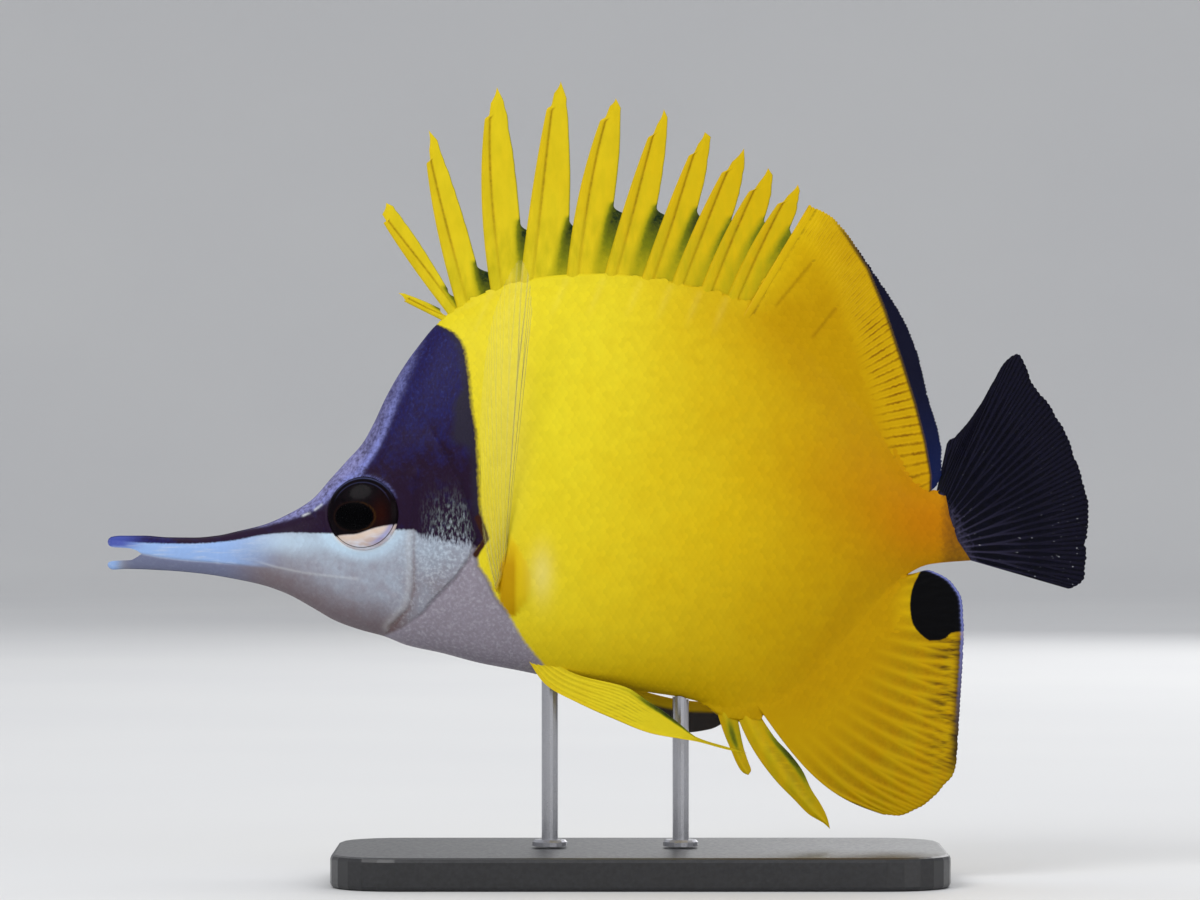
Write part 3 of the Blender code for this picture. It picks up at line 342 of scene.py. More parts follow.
HAZE, NIGHT, RAY_GREY = paint(84, 80, 108), paint(4, 4, 6), paint(88, 76, 66)
IRIS, PUPIL, ROSE, UMBER = paint(16, 9, 14), paint(2, 2, 3), paint(200, 180, 172), paint(56, 34, 12)
SHELL, JAW_GREY = paint(216, 217, 228), paint(112, 118, 146)
MOSS, DUSK = paint(176, 164, 16), paint(34, 24, 18)
CREAM, PEACH, EMBER = paint(232, 224, 130), paint(224, 200, 178), paint(40, 14, 9)
ICE, STAGE_GREY, CLOUD_GREY = paint(132, 140, 210), paint(214, 214, 213), paint(210, 210, 210)
STEEL, DULL_STEEL = paint(190, 190, 194), paint(160, 160, 166)
JET, SATIN = paint(24, 24, 26), paint(38, 38, 41)


def curve(points, at):
    """A smooth line through (place, value) points that never overshoots them."""
    places, values = np.array(points, float).T
    steps = np.diff(places)
    slopes = np.diff(values) / steps
    tangents = np.zeros(len(places))
    tangents[0], tangents[-1] = slopes[0], slopes[-1]
    same = slopes[:-1] * slopes[1:] > 0
    tangents[1:-1][same] = 2 / (1 / slopes[:-1][same] + 1 / slopes[1:][same])
    at = np.clip(np.asarray(at, float), places[0], places[-1])
    k = np.clip(np.searchsorted(places, at) - 1, 0, len(steps) - 1)
    t = (at - places[k]) / steps[k]
    blend = t * t * (3 - 2 * t)
    bend = steps[k] * t * (1 - t) * (tangents[k] * (1 - t) - tangents[k + 1] * t)
    return values[k] * (1 - blend) + values[k + 1] * blend + bend


def path(points, at):
    """Points on a smooth line through 2-D points, for shares of its length from 0 to 1."""
    points = np.array(points, float)
    along = np.concatenate([[0], np.cumsum(np.linalg.norm(np.diff(points, axis=0), axis=1))])
    along /= along[-1]
    return np.stack([curve(list(zip(along, points[:, i])), at) for i in (0, 1)], axis=-1)


def smooth(x):
    x = np.clip(x, 0, 1)
    return x * x * (3 - 2 * x)


def fade(distance, width):
    """0 on the negative side of a line, 1 on the positive side, soft over a width."""
    return smooth(distance / width + 0.5)


def hump(distance, width):
    return np.exp(-((distance / width) ** 2))


def patch(a, h, at, size):
    """A soft round patch at a place in the side view."""
    return hump(a - at[0], size[0]) * hump(h - at[1], size[1])


def off_line(a, h, line):
    """Distance from a line of (a, h) points, positive to the left of its direction."""
    a, h = np.asarray(a, float), np.asarray(h, float)
    line = np.array(line, float)
    nearest, side = np.full(a.shape, 1e9), np.ones(a.shape)
    for start, end in zip(line, line[1:]):
        way = end - start
        share = ((a - start[0]) * way[0] + (h - start[1]) * way[1]) / (way @ way)
        share = np.clip(share, 0, 1)
        da, dh = a - start[0] - share * way[0], h - start[1] - share * way[1]
        distance = np.hypot(da, dh)
        closer = distance < nearest
        nearest = np.where(closer, distance, nearest)
        side = np.where(closer, np.where(way[0] * dh - way[1] * da < 0, -1.0, 1.0), side)
    return nearest * side


def half_width(a, h):
    """Distance from the middle plane to the skin at (a, h), without the fins."""
    top, low = curve(BACK, a), curve(BELLY, a)
    level, width = curve(WIDEST_LEVEL, a), curve(HALF_WIDTH, a)
    above = np.asarray(h) > level
    reach = np.where(above, top - level, level - low)
    share = np.clip(np.abs(h - level) / reach, 0, 1)
    edge = np.where(above, curve(BACK_EDGE, a), curve(BELLY_EDGE, a))
    taper = np.where(above, curve(BACK_TAPER, a), curve(BELLY_TAPER, a))
    return edge + (width - edge) * (1 - share**FLANK_POWER) ** taper


def from_eye(a, h):
    return np.hypot(a - EYE_AT[0], h - EYE_AT[1])


def lobe(a, h):
    """The fleshy root of the side fins, from 0 to 1: steep in front, soft behind."""
    wide = curve(LOBE_WIDTH, h)
    across = (a - curve(LOBE_MIDDLE, h)) / wide
    return np.clip(1 - across**2, 0, 1) ** np.where(across < 0, 0.5, 1.3) * wide / 3


def rib_lines(a, h):
    """Where the spines of the back show through the scaly skirt, fading downwards."""
    below = curve(BACK, a) - h
    return sum(hump(off_line(a, h, rib), 0.55) for rib in RIBS) * smooth(1 - (below - 1) / 6)


def relief(a, h):
    """Raised and sunken detail of the head, as extra distance from the middle plane."""
    eye = from_eye(a, h)
    extra = 0.12 * hump(eye - EYE_RING, 0.4) - SOCKET_DEPTH * (1 - smooth((eye - SOCKET_RADIUS) / 0.8))
    cover = off_line(a, h, OPERCLE)
    near = fade(16 - np.abs(h - 5), 6)
    extra += 0.5 * fade(-cover, 0.3) * np.exp(-np.abs(cover) / 6) * (cover < 1.5) * near
    extra -= 0.22 * hump(cover - 0.35, 0.4) * near
    cheek = off_line(a, h, PREOPERCLE)
    extra += 0.16 * hump(cheek + 1.1, 0.9) - 0.26 * hump(cheek, 0.4)
    extra -= 0.14 * hump(off_line(a, h, JAW_GROOVE), 0.24) * fade(26 - a, 4)
    extra += 0.22 * rib_lines(a, h) + LOBE_RISE * lobe(a, h)
    extra += 0.08 * hump(off_line(a, h, CHEEK_LINE), 0.3)
    for at_a, at_h in NOSTRILS:
        pit = np.hypot(a - at_a, h - at_h)
        extra += 0.16 * hump(pit - 0.75, 0.25) - 0.5 * hump(pit, 0.42)
    return extra * smooth(a / 8 + 0.2)


def fin_thickness(distance):
    """Half thickness of a fin at a distance from the back, where it swells to meet the flesh."""
    return MEMBRANE + FIN_ROOT * np.exp(-np.clip(distance, 0, None) / FIN_ROOT_FADE)


def keel_thickness(rise, height, edge):
    """Half thickness of the scaly skirt that the spines stand in."""
    share = np.clip(rise / height, 0, 1)
    return edge * (1 - share) + KEEL_EDGE * share


def beyond(line, a, h):
    """Distance above an outline, square to it."""
    slope = curve(line, a + 0.5) - curve(line, a - 0.5)
    return (h - curve(line, a)) / np.sqrt(1 + slope**2)


def flank(a, h):
    """Distance from the middle plane to the outermost skin or fin at (a, h)."""
    top, low = curve(BACK, a), curve(BELLY, a)
    flesh = half_width(a, np.clip(h, low, top)) + relief(a, h)
    keel = keel_thickness(h - top, curve(KEEL, a), curve(BACK_EDGE, a))
    over = np.where(a > SOFT_DORSAL_ROOT[0] + 4, fin_thickness(beyond(BACK, a, h)), keel)
    low_keel = keel_thickness(low - h, curve(LOW_KEEL, a), curve(BELLY_EDGE, a))
    under = np.where(a > SOFT_ANAL_ROOT[0] + 2, fin_thickness(-beyond(BELLY, a, h)), low_keel)
    return np.where(h > top, over, np.where(h < low, under, flesh))


class Flank:
    """The flank on a fine grid of the side view, to be read anywhere at once."""

    start, step = np.array([20.0, -52.0]), 0.2

    def __init__(self):
        a = np.arange(self.start[0], 160.0, self.step)
        h = np.arange(self.start[1], 68.0, self.step)
        self.grid_a, self.grid_h = a, h
        self.out = flank(*np.meshgrid(a, h, indexing="ij"))
        self.slope_a, self.slope_h = np.gradient(self.out, self.step)

    def read(self, values, a, h):
        x = np.clip((a - self.start[0]) / self.step, 0, values.shape[0] - 1.001)
        z = np.clip((h - self.start[1]) / self.step, 0, values.shape[1] - 1.001)
        i, j = x.astype(int), z.astype(int)
        x, z = x - i, z - j
        low = values[i, j] * (1 - x) + values[i + 1, j] * x
        high = values[i, j + 1] * (1 - x) + values[i + 1, j + 1] * x
        return low * (1 - z) + high * z

    def place(self, a, h, lift, side):
        """Points lifted off the flank along its own normal."""
        out = self.read(self.out, a, h)
        slope_a, slope_h = self.read(self.slope_a, a, h), self.read(self.slope_h, a, h)
        size = np.sqrt(1 + slope_a**2 + slope_h**2)
        lifted = [a - slope_a / size * lift, side * (out + lift / size), h - slope_h / size * lift]
        return np.stack(lifted, axis=-1)


def mask_markings(a, h, rear, seam):
    """The dark mask and upper snout."""
    lavender = off_line(a, h, LAVENDER_EDGE)
    eye_rim = hump(from_eye(a, h) - EYE_RADIUS, 0.2)
    above_eye = 0.7 * eye_rim * fade(h - 11, 3) * fade(a - 44, 3)
    return {
        "head": fade(rear, 2.2),
        "lavender": fade(lavender, 0.8 + 2.4 * smooth((a - 50) / 6)) * curve(BROW, a) * fade(60 - a, 5),
        "rim": hump(lavender - 0.45, 0.65) * hump(a - 46, 8) + above_eye,
        # pale streaks beside the nostrils are painted highlights
        "painted_nose_highlight": sum(hump(off_line(a, h, painted_nose_highlight), 0.2) for painted_nose_highlight in PAINTED_NOSE_HIGHLIGHTS),
        "indigo": np.clip(0.15 + 0.85 * smooth((h - 6) / 32) + smooth((16 - a) / 12), 0, 1),
        "slate": 0.7 * smooth(1 - rear / 3.2) * smooth(h / 8) + 0.85 * hump(off_line(a, h, SLATE_BAR), 2.1),
        "violet": smooth((8 - a) / 6) * fade(h - 1, 1.5),
        "blue": smooth((34 - a) / 14) * fade(seam, 0.8) + smooth((3.5 - a) / 2.5) * fade(-seam, 0.8),
        "jaw": fade(-seam - 0.1, 0.5) * smooth((30 - a) / 10) * smooth((a - 1) / 4),
    }


def cheek_markings(a, h, rear):
    """The pale cheek, gill cover and chest, with painted glints on the gill cover and a painted shadow along
    the preopercle's edge.
    """
    dark_edge = curve(DARK_EDGE, a) - h
    from_cover, from_cheek = off_line(a, h, OPERCLE), off_line(a, h, PREOPERCLE)
    on_cover, eye_rim = from_cover < 0, hump(from_eye(a, h) - EYE_RADIUS, 0.2)
    under_head = smooth(1.15 - (h - curve(BELLY, a)) / 8.2) * fade(a - 20, 12) * fade(60 - a, 8)
    low_lines = 1.6 * eye_rim + 0.5 * hump(from_cheek + 0.9, 0.7)
    mask_border = 0.38 * hump(rear, 0.9) * fade(h - 3, 4)
    low_border = 0.42 * hump(rear - 0.2, 0.8) * fade(-h, 3) * fade(h + 12, 5)
    return {
        "pale": fade(dark_edge, 0.9 + 4.2 * smooth((a - 56) / 4) + 0.3 * smooth((a - 47) / 6)),
        "chest": fade(from_cover, 1.6) * fade(a - 50, 4),
        "mint": hump(from_eye(a, h) - 7.4, 1.4) * fade(5 - h, 4)
        + hump(dark_edge - 1.6, 2.2) * hump(a - 34, 12) + 0.7 * patch(a, h, (60, 1), (6, 5)) * on_cover,
        "mauve": under_head + 0.3 * hump(from_cheek, 1.2) * fade(-h, 6)
        # the thin mauve line on the preopercle groove is a painted shadow of its edge
        + 0.4 * patch(a, h, (60, -6), (3.5, 3.5)) + 0.5 * hump(from_cheek, 0.3) * fade(10 - h, 3),
        "grain": 0.25 + 0.75 * smooth((a - 50) / 6) + 0.9 * patch(a, h, (62, -1), (4.5, 6)) * on_cover,
        # grey-green specks on the gill cover are painted glints of its iridescent skin
        "painted_glint": fade(-from_cover, 0.6) * patch(a, h, (63.5, 5.5), (4.5, 4.2)) * fade(a - 57.5, 1),
        "line": low_lines * fade(5 - h, 3) + 0.6 * hump(off_line(a, h, CHEEK_LINE), 0.25) * fade(a - 28, 6),
        "rust": 0.95 * hump(off_line(a, h, RUST_LINE), 0.55) + mask_border + low_border
        + 0.5 * smooth((a - 150) / 4.5),
    }


def flank_markings(a, h):
    """The yellow of body and fins, from lemon to orange, with painted highlights, and painted shade on the
    front of the side fins' fleshy root and along folds of the soft fin of the back.
    """
    back, belly = curve(BACK, a), curve(BELLY, a)
    high = (h - belly) / (back - belly)
    root = smooth(3 * lobe(a, h))
    rearward = 1.05 * smooth((a - 82) / 70) + 0.3 * smooth((a - 96) / 30) * fade(h - back + 6, 16)
    rearward += 0.25 * hump(h - belly, 7) * smooth((a - 74) / 40) - 0.22 * patch(a, h, (117, 8), (12, 11))
    rearward *= 1 - 0.7 * patch(a, h, (148.5, -9), (5, 5))
    rearward *= 1 - 0.22 * hump(a - 129, 9) * smooth((h - 42) / 9)
    rearward *= 1 - 0.6 * hump(off_line(a, h, SOFT_DORSAL_FRONT), 4.5) * smooth((h - 42) / 8)
    # Painted highlights: a pale spot behind the side fin's fleshy root and a faint pale streak above it
    painted_shine = 0.4 * patch(a, h, (79.6, -3.5), (1.9, 4.5)) + 0.1 * patch(a, h, (73.5, 24), (3.5, 16))
    return {
        "warm": np.maximum(smooth(0.25 + (a - 84) / 70 - 0.5 * (high - 0.5) * hump(a - 80, 30)), 0.8 * root),
        # gold on the front and lower part of the fleshy root is painted shade
        "gold": np.clip(root * fade(LOBE_SHADE_END - a, 0.9) * smooth((3.5 - h) / 6) + rearward, 0, 1),
        "orange": patch(a, h, (152, 5), (12, 9)) + 0.4 * patch(a, h, (138, 13), (16, 10)),
        # the painted highlights, and a faint painted highlight along the ribs of the skirt
        "painted_highlight": painted_shine + 0.05 * rib_lines(a, h),
        # darker amber along the folds of the soft fin is painted shade
        "fold": sum(hump(off_line(a, h, fold), 0.3) for fold in DORSAL_FOLDS),
    }


def markings(a, h):
    """How strongly each paint shows at (a, h), from 0 to 1."""
    rear, seam = curve(MASK_REAR, h) - a, h - curve(SEAM, a)
    return {**mask_markings(a, h, rear, seam), **cheek_markings(a, h, rear), **flank_markings(a, h)}


def placed(points):
    """Points (a, y, h) in millimetres as world positions in metres."""
    points = np.asarray(points, float).reshape(-1, 3)
    return (points + (SNOUT_X, 0.0, AXIS_Z)) * MM


def new_mesh(name, points, faces):
    """A mesh from (a, y, h) points and an array of faces with equally many corners."""
    mesh = bpy.data.meshes.new(name)
    faces = np.ascontiguousarray(faces, dtype=np.int32)
    mesh.vertices.add(len(points))
    mesh.vertices.foreach_set("co", placed(points).astype(np.float32).ravel())
    mesh.loops.add(faces.size)
    mesh.loops.foreach_set("vertex_index", faces.ravel())
    mesh.polygons.add(len(faces))
    mesh.polygons.foreach_set("loop_start", np.arange(0, faces.size, faces.shape[1], dtype=np.int32))
    mesh.update(calc_edges=True)
    return mesh


def weld(mesh, distance=1e-7):
    """Joins points that share a place, and turns all faces outwards."""
    work = bmesh.new()
    work.from_mesh(mesh)
    bmesh.ops.remove_doubles(work, verts=work.verts, dist=distance)
    bmesh.ops.recalc_face_normals(work, faces=work.faces)
    work.to_mesh(mesh)
    work.free()


def add_fields(mesh, fields):
    for name, values in fields.items():
        attribute = mesh.attributes.new(name, "FLOAT", "POINT")
        attribute.data.foreach_set("value", np.asarray(values, np.float32).ravel())


def side_view(mesh):
    """The (a, y, h) of each point of a mesh, in millimetres."""
    points = np.zeros(len(mesh.vertices) * 3, np.float32)
    mesh.vertices.foreach_get("co", points)
    return points.reshape(-1, 3).astype(float) / MM - (SNOUT_X, 0.0, AXIS_Z)


def piece(name, mesh, finish, nodes=()):
    """An object that is part of the model."""
    obj = bpy.data.objects.new(name, mesh)
    bpy.context.scene.collection.objects.link(obj)
    mesh.materials.append(finish)
    mesh.shade_smooth()
    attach(obj, "root")
    if nodes:
        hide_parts(*nodes)
    return obj


class Finish:
    """One procedural material, built node by node."""

    def __init__(self, name, **values):
        self.material = bpy.data.materials.new(name)
        self.material.use_nodes = True
        self.tree = self.material.node_tree
        self.shader = self.tree.nodes["Principled BSDF"]
        self.place = self.node("TexCoord", {}, "Object")
        self.normal = None
        self.set(**values)

    def set(self, **values):
        """Feeds the shader's own sockets, such as Base_Color."""
        for key, value in values.items():
            self.feed(self.shader.inputs[key.replace("_", " ")], value)

    def feed(self, socket, value):
        """Gives a socket a number, a colour, another node's output, or a field of the mesh by its name."""
        if isinstance(value, str):
            value = self.node("Attribute", {}, "Fac", attribute_name=value)
        if isinstance(value, bpy.types.NodeSocket):
            self.tree.links.new(value, socket)
        else:
            socket.default_value = value

    def node(self, kind, inputs, output, **settings):
        """One output of a new node."""
        made = self.tree.nodes.new("ShaderNode" + kind)
        for key, value in settings.items():
            setattr(made, key, value)
        for key, value in inputs.items():
            self.feed(made.inputs[key], value)
        return made.outputs[output]

    def noise(self, per_mm, detail, stretch=(1, 1, 1)):
        """Noise with about so many spots to the millimetre."""
        place = self.node("Mapping", {"Vector": self.place, "Scale": stretch}, "Vector")
        inputs = {"Vector": place, "Scale": per_mm / MM, "Detail": detail, "Roughness": 0.55}
        return self.node("TexNoise", inputs, "Fac")

    def cells(self, per_mm):
        return self.node("TexVoronoi", {"Vector": self.place, "Scale": per_mm / MM}, "Distance")

    def math(self, operation, first, second=0.0, third=0.0, clamp=False):
        inputs = dict(enumerate((first, second, third)))
        return self.node("Math", inputs, "Value", operation=operation, use_clamp=clamp)

    def times(self, first, *others):
        for other in others:
            first = self.math("MULTIPLY", first, other)
        return first

    def stretch(self, value, low, high, to_low=0.0, to_high=1.0):
        """A value between low and high, spread between other ends and held there."""
        inputs = dict(enumerate((value, low, high, to_low, to_high)))
        return self.node("MapRange", inputs, "Result", clamp=True)

    def uneven(self, weight, noise, amount, clamp=True):
        """A weight made a little more or less by noise."""
        return self.math("MULTIPLY_ADD", self.math("SUBTRACT", noise, 0.5), amount, weight, clamp)

    def ragged(self, weight, noise, amount):
        """A weight whose soft edge is broken up by noise."""
        return self.stretch(self.uneven(weight, noise, amount, False), 0.25, 0.75)

    def mix(self, weight, first, second, blend="MIX"):
        inputs = {"Factor": weight, MIX_FIRST: first, MIX_SECOND: second}
        return self.node("Mix", inputs, MIX_RESULT, data_type="RGBA", blend_type=blend)

    def layers(self, colour, *coats):
        """A colour under coats of (weight, colour), laid over it in turn."""
        for weight, coat in coats:
            colour = self.mix(weight, colour, coat)
        return colour

    def yellows(self, mid, broad, orange):
        """Lemon in front, gold behind, and some orange, by the fields for them."""
        warm, gold = self.uneven("warm", broad, 0.5), self.uneven("gold", mid, 0.3)
        return self.layers(LEMON, (warm, YELLOW), (gold, GOLD), (self.times("orange", orange), ORANGE))

    def bump(self, height, distance_mm, strength):
        inputs = {"Strength": strength, "Distance": distance_mm * MM, "Height": height}
        if self.normal:
            inputs["Normal"] = self.normal
        self.normal = self.node("Bump", inputs, "Normal")
        self.set(Normal=self.normal)


def skin_paint(finish):
    """The fish's colours, from the weights that each point carries."""
    layers, times, stretch = finish.layers, finish.times, finish.stretch
    ragged, noise = finish.ragged, finish.noise
    fine, mid, broad = noise(1.6, 3), noise(0.45, 3), noise(0.09, 2)
    upright, lengthwise = noise(2.8, 3, (1, 1, 0.35)), noise(1.6, 3, (0.12, 1, 1))
    # the pale coat is painted highlight; the amber along the folds is painted shade
    body = layers(finish.yellows(mid, broad, 0.75), ("painted_highlight", HIGHLIGHT_PAINT), (times("fold", 0.45), AMBER))
    speckle = stretch(finish.math("ADD", fine, times(mid, 0.6)), 0.6, 1.0, 0.25, 1.0)
    mask = layers(
        PLUM,
        (ragged("indigo", mid, 1.3), INDIGO),
        (stretch(upright, 0.35, 0.65, 0.6, 0.0), PLUM),
        (times(stretch(fine, 0.55, 0.8, 0.0, 0.3), "indigo"), VIOLET),
        (ragged("slate", mid, 0.3), SLATE),
        (times("lavender", speckle), LAVENDER),
        (times("rim", speckle), ICE),
        # painted glints on the gill cover
        (times(stretch(upright, 0.45, 0.68, 0.0, 0.9), "painted_glint"), GREEN_GREY),
        (times("violet", 0.8), VIOLET),
        # painted highlights beside the nostrils
        (times("painted_nose_highlight", 0.65), PEARL),
    )
    cheek = layers(
        SILVER,
        (stretch(mid, 0.3, 0.8, 0.0, 0.35), MINT),
        (times("mint", 0.75), MINT),
        (times("mauve", 0.8), MAUVE),
        ("blue", SNOUT_BLUE),
        ("jaw", JAW_GREY),
        ("violet", VIOLET),
        (times(stretch(lengthwise, 0.5, 0.75, 0.0, 0.4), "blue"), PEARL),
        (ragged("chest", mid, 0.3), LILAC),
        (times(stretch(fine, 0.4, 0.75, 0.24, 0.0), "grain"), MAUVE),
        (times(stretch(fine, 0.5, 0.8, 0.0, 0.22), "grain"), PEARL),
        (times("line", 0.4), PEARL),
    )
    # the painted glints also break up the edge of the pale zone
    breaks = finish.math("MULTIPLY_ADD", "painted_glint", 2.4, 0.5)
    head = layers(mask, (ragged("pale", upright, breaks), cheek))
    return layers(body, (ragged("head", fine, 0.5), head), (ragged("rust", fine, 0.3), RUST))


def skin_finish():
    finish = Finish("fish_skin", Coat_Weight=0.03, Coat_Roughness=0.25, Specular_IOR_Level=0.05)
    gloss = finish.stretch(finish.noise(0.7, 2), 0.3, 0.7, 0.42, 0.55)
    finish.set(Base_Color=skin_paint(finish), Roughness=gloss)
    finish.bump(finish.cells(1.5), 0.03, 0.3)
    finish.bump(finish.noise(0.5, 3), 0.08, 0.3)
    return finish.material


def scale_finish():
    """Scales: each one a little lighter or darker at random, with painted shade at its root and a painted
    highlight towards its free edge.
    """
    finish = Finish("fish_scales", Coat_Weight=0.03, Coat_Roughness=0.3, Specular_IOR_Level=0.05)
    # random tone of each scale, times painted shade at the root and a painted highlight at the free edge
    tone_and_painted_edge_light = finish.times(finish.stretch("shade", 0, 1, 0.96, 1.03), finish.stretch("edge", 0, 1, 0.95, 1.03))
    skin = finish.mix(1.0, skin_paint(finish), tone_and_painted_edge_light, "MULTIPLY")
    finish.set(Base_Color=skin, Roughness=finish.stretch("shade", 0, 1, 0.42, 0.56))
    finish.bump(finish.noise(3, 2), 0.012, 0.3)
    return finish.material


def fin_finish():
    """Yellow fins: pale rays with darker skin between, a glassy blue band and dark webs, and painted shade in
    grooves and folds.
    """
    finish = Finish("fin_skin", Coat_Weight=0.03, Coat_Roughness=0.3, Specular_IOR_Level=0.05)
    times, stretch, ragged, noise = finish.times, finish.stretch, finish.ragged, finish.noise
    fine, mid, broad = noise(1.8, 2), noise(0.35, 3), noise(0.09, 2)
    upright, lengthwise = noise(0.6, 4, (1, 1, 0.35)), noise(1, 3, (0.22, 1, 1))
    between = times(finish.math("SUBTRACT", 1.0, "ray"), "fringe")
    teeth = finish.math("PINGPONG", finish.math("MULTIPLY_ADD", fine, 0.35, "tooth"), 0.5)
    tooth_line = times(stretch(teeth, 0.28, 0.46), stretch(mid, 0.3, 0.65, 0.35, 1.0))
    web = times("web", stretch(fine, 0.3, 0.7, 0.8, 1.0))
    skin = finish.layers(
        finish.yellows(mid, broad, 0.8),
        (times(between, stretch(fine, 0.3, 0.7, 0.4, 0.85)), AMBER),
        (times("ray", "fringe", 0.4), YELLOW),
        (times(tooth_line, ragged("comb", mid, 0.6)), AMBER),
        (stretch(upright, 0.35, 0.75, 0.0, "moss"), MOSS),
        # umber for real streaks, and as painted shade in the grooves behind the front rods and along the
        # folds
        (times("streak", stretch(lengthwise, 0.44, 0.6)), UMBER),
        ("film", DUSK),
        (stretch(web, 0.0, 0.45), FERN),
        (stretch(web, 0.25, 0.95), OLIVE),
        ("band", finish.mix(stretch("deep", 0, 1), BAND_DARK, BAND_BLUE)),
        (ragged("spot", fine, 0.25), NIGHT),
        ("trim", ICE),
    )
    gloss, solid = stretch(mid, 0.3, 0.7, 0.42, 0.56), finish.math("SUBTRACT", 1.0, "clear")
    finish.set(Base_Color=skin, Alpha=solid, Roughness=gloss)
    finish.bump(noise(1.2, 2, (1, 1, 0.5)), 0.03, 0.4)
    return finish.material


def tail_finish():
    """A smoky tail with thin rays, lilac at its root, with a few white flecks on the rays."""
    finish = Finish("tail_skin", Coat_Weight=0.01, Coat_Roughness=0.3, Specular_IOR_Level=0.03)
    fine, spots = finish.noise(1.6, 2), finish.noise(2.2, 1, (0.5, 1, 1))
    skin = finish.layers(
        SMOKE,
        (finish.stretch(fine, 0.3, 0.9, 0.0, 0.7), BAND_DARK),
        (finish.times("ray", "glow"), HAZE),
        (finish.ragged("haze", fine, 0.5), HAZE),
        (finish.times(finish.stretch(spots, 0.72, 0.78), "fleck"), PEARL),
    )
    solid = finish.math("MAXIMUM", finish.stretch("ray", 0, 1, 0.94, 0.99), "haze")
    finish.set(Base_Color=skin, Alpha=solid, Roughness=finish.stretch(fine, 0.2, 0.8, 0.4, 0.55))
    finish.bump(fine, 0.03, 0.4)
    return finish.material


def clear_finish():
    """Side fins: thin brownish rays in nearly clear skin, on a fleshy root."""
    finish = Finish("clear_fin", Coat_Weight=0.05, Coat_Roughness=0.25, Specular_IOR_Level=0.1)
    fine = finish.noise(0.8, 2)
    skin = finish.layers(CREAM, ("ray", RAY_GREY), ("flesh", finish.mix(fine, YELLOW, GOLD)))
    solid = finish.math("MAXIMUM", finish.stretch("ray", 0, 1, 0.05, 0.9), "flesh", clamp=True)
    finish.set(Base_Color=skin, Alpha=solid, Roughness=finish.stretch(fine, 0.2, 0.8, 0.35, 0.5))
    finish.bump(fine, 0.02, 0.4)
    return finish.material


def eye_finish():
    """A dark iris with a pink-white crescent below, thin rings, and a clear gloss over it."""
    finish = Finish("fish_eye", Coat_Weight=0.04, Coat_Roughness=0.08, Coat_IOR=1.4, Specular_IOR_Level=0.02)
    fine, soft = finish.noise(2, 3), finish.noise(0.6, 2, (0.6, 1, 1.6))
    shell = finish.layers(SHELL, (finish.stretch(soft, 0.35, 0.65), ROSE), ("cream", PEACH), ("lilac", ICE))
    ball = finish.layers(
        IRIS,
        (finish.stretch(fine, 0.4, 0.7), NIGHT),
        ("ember", EMBER),
        (finish.ragged("crescent", fine, 0.2), shell),
        ("pupil_ring", UMBER),
        ("pupil", PUPIL),
        (finish.times("ring", 0.8), ICE),
    )
    finish.set(Base_Color=ball, Roughness=finish.stretch(fine, 0.2, 0.8, 0.22, 0.34))
    finish.bump(fine, 0.02, 0.3)
    return finish.material


def body_stations():
    """Where the skin's rings stand, closer together on the face."""
    mouth, face = np.arange(1.0, MOUTH_END, FACE_STEP), np.arange(MOUTH_END, FACE_END, FACE_STEP)
    return np.concatenate([TIP_RINGS, mouth, face, np.linspace(*BODY_RINGS)])


def ring_rows(a, upper=104, lower=62, lip=4, crown=4):
    """The levels and width shares round one side of the body, from the top middle line down."""
    top, low = curve(BACK, a), curve(BELLY, a)
    open_mouth = a <= MOUTH_END
    seam_top = np.where(open_mouth, curve(MOUTH_TOP, a), curve(SEAM, a))
    seam_low = np.where(open_mouth, curve(MOUTH_LOW, a), curve(SEAM, a))
    keel, low_keel = curve(KEEL, a), curve(LOW_KEEL, a)
    columns = []
    for share in np.linspace(1, 0, crown + 1)[:-1]:
        columns.append((top + keel * share, np.full(len(a), share), "crown"))
    for share in np.cos(np.linspace(0, math.pi / 2, upper)):
        columns.append((seam_top + share * (top - seam_top), np.ones(len(a)), "flesh"))
    for share in np.cos(np.linspace(0, math.pi / 2, lip + 1))[1:]:
        columns.append((seam_top, np.full(len(a), share), "lip"))
    for share in np.cos(np.linspace(0, math.pi / 2, lip + 1))[::-1][:-1]:
        columns.append((seam_low, np.full(len(a), share), "lip"))
    for share in np.sin(np.linspace(0, math.pi / 2, lower)):
        columns.append((seam_low + share * (low - seam_low), np.ones(len(a)), "flesh"))
    for share in np.linspace(0, 1, crown + 1)[1:]:
        columns.append((low - low_keel * share, np.full(len(a), share), "crown"))
    return columns


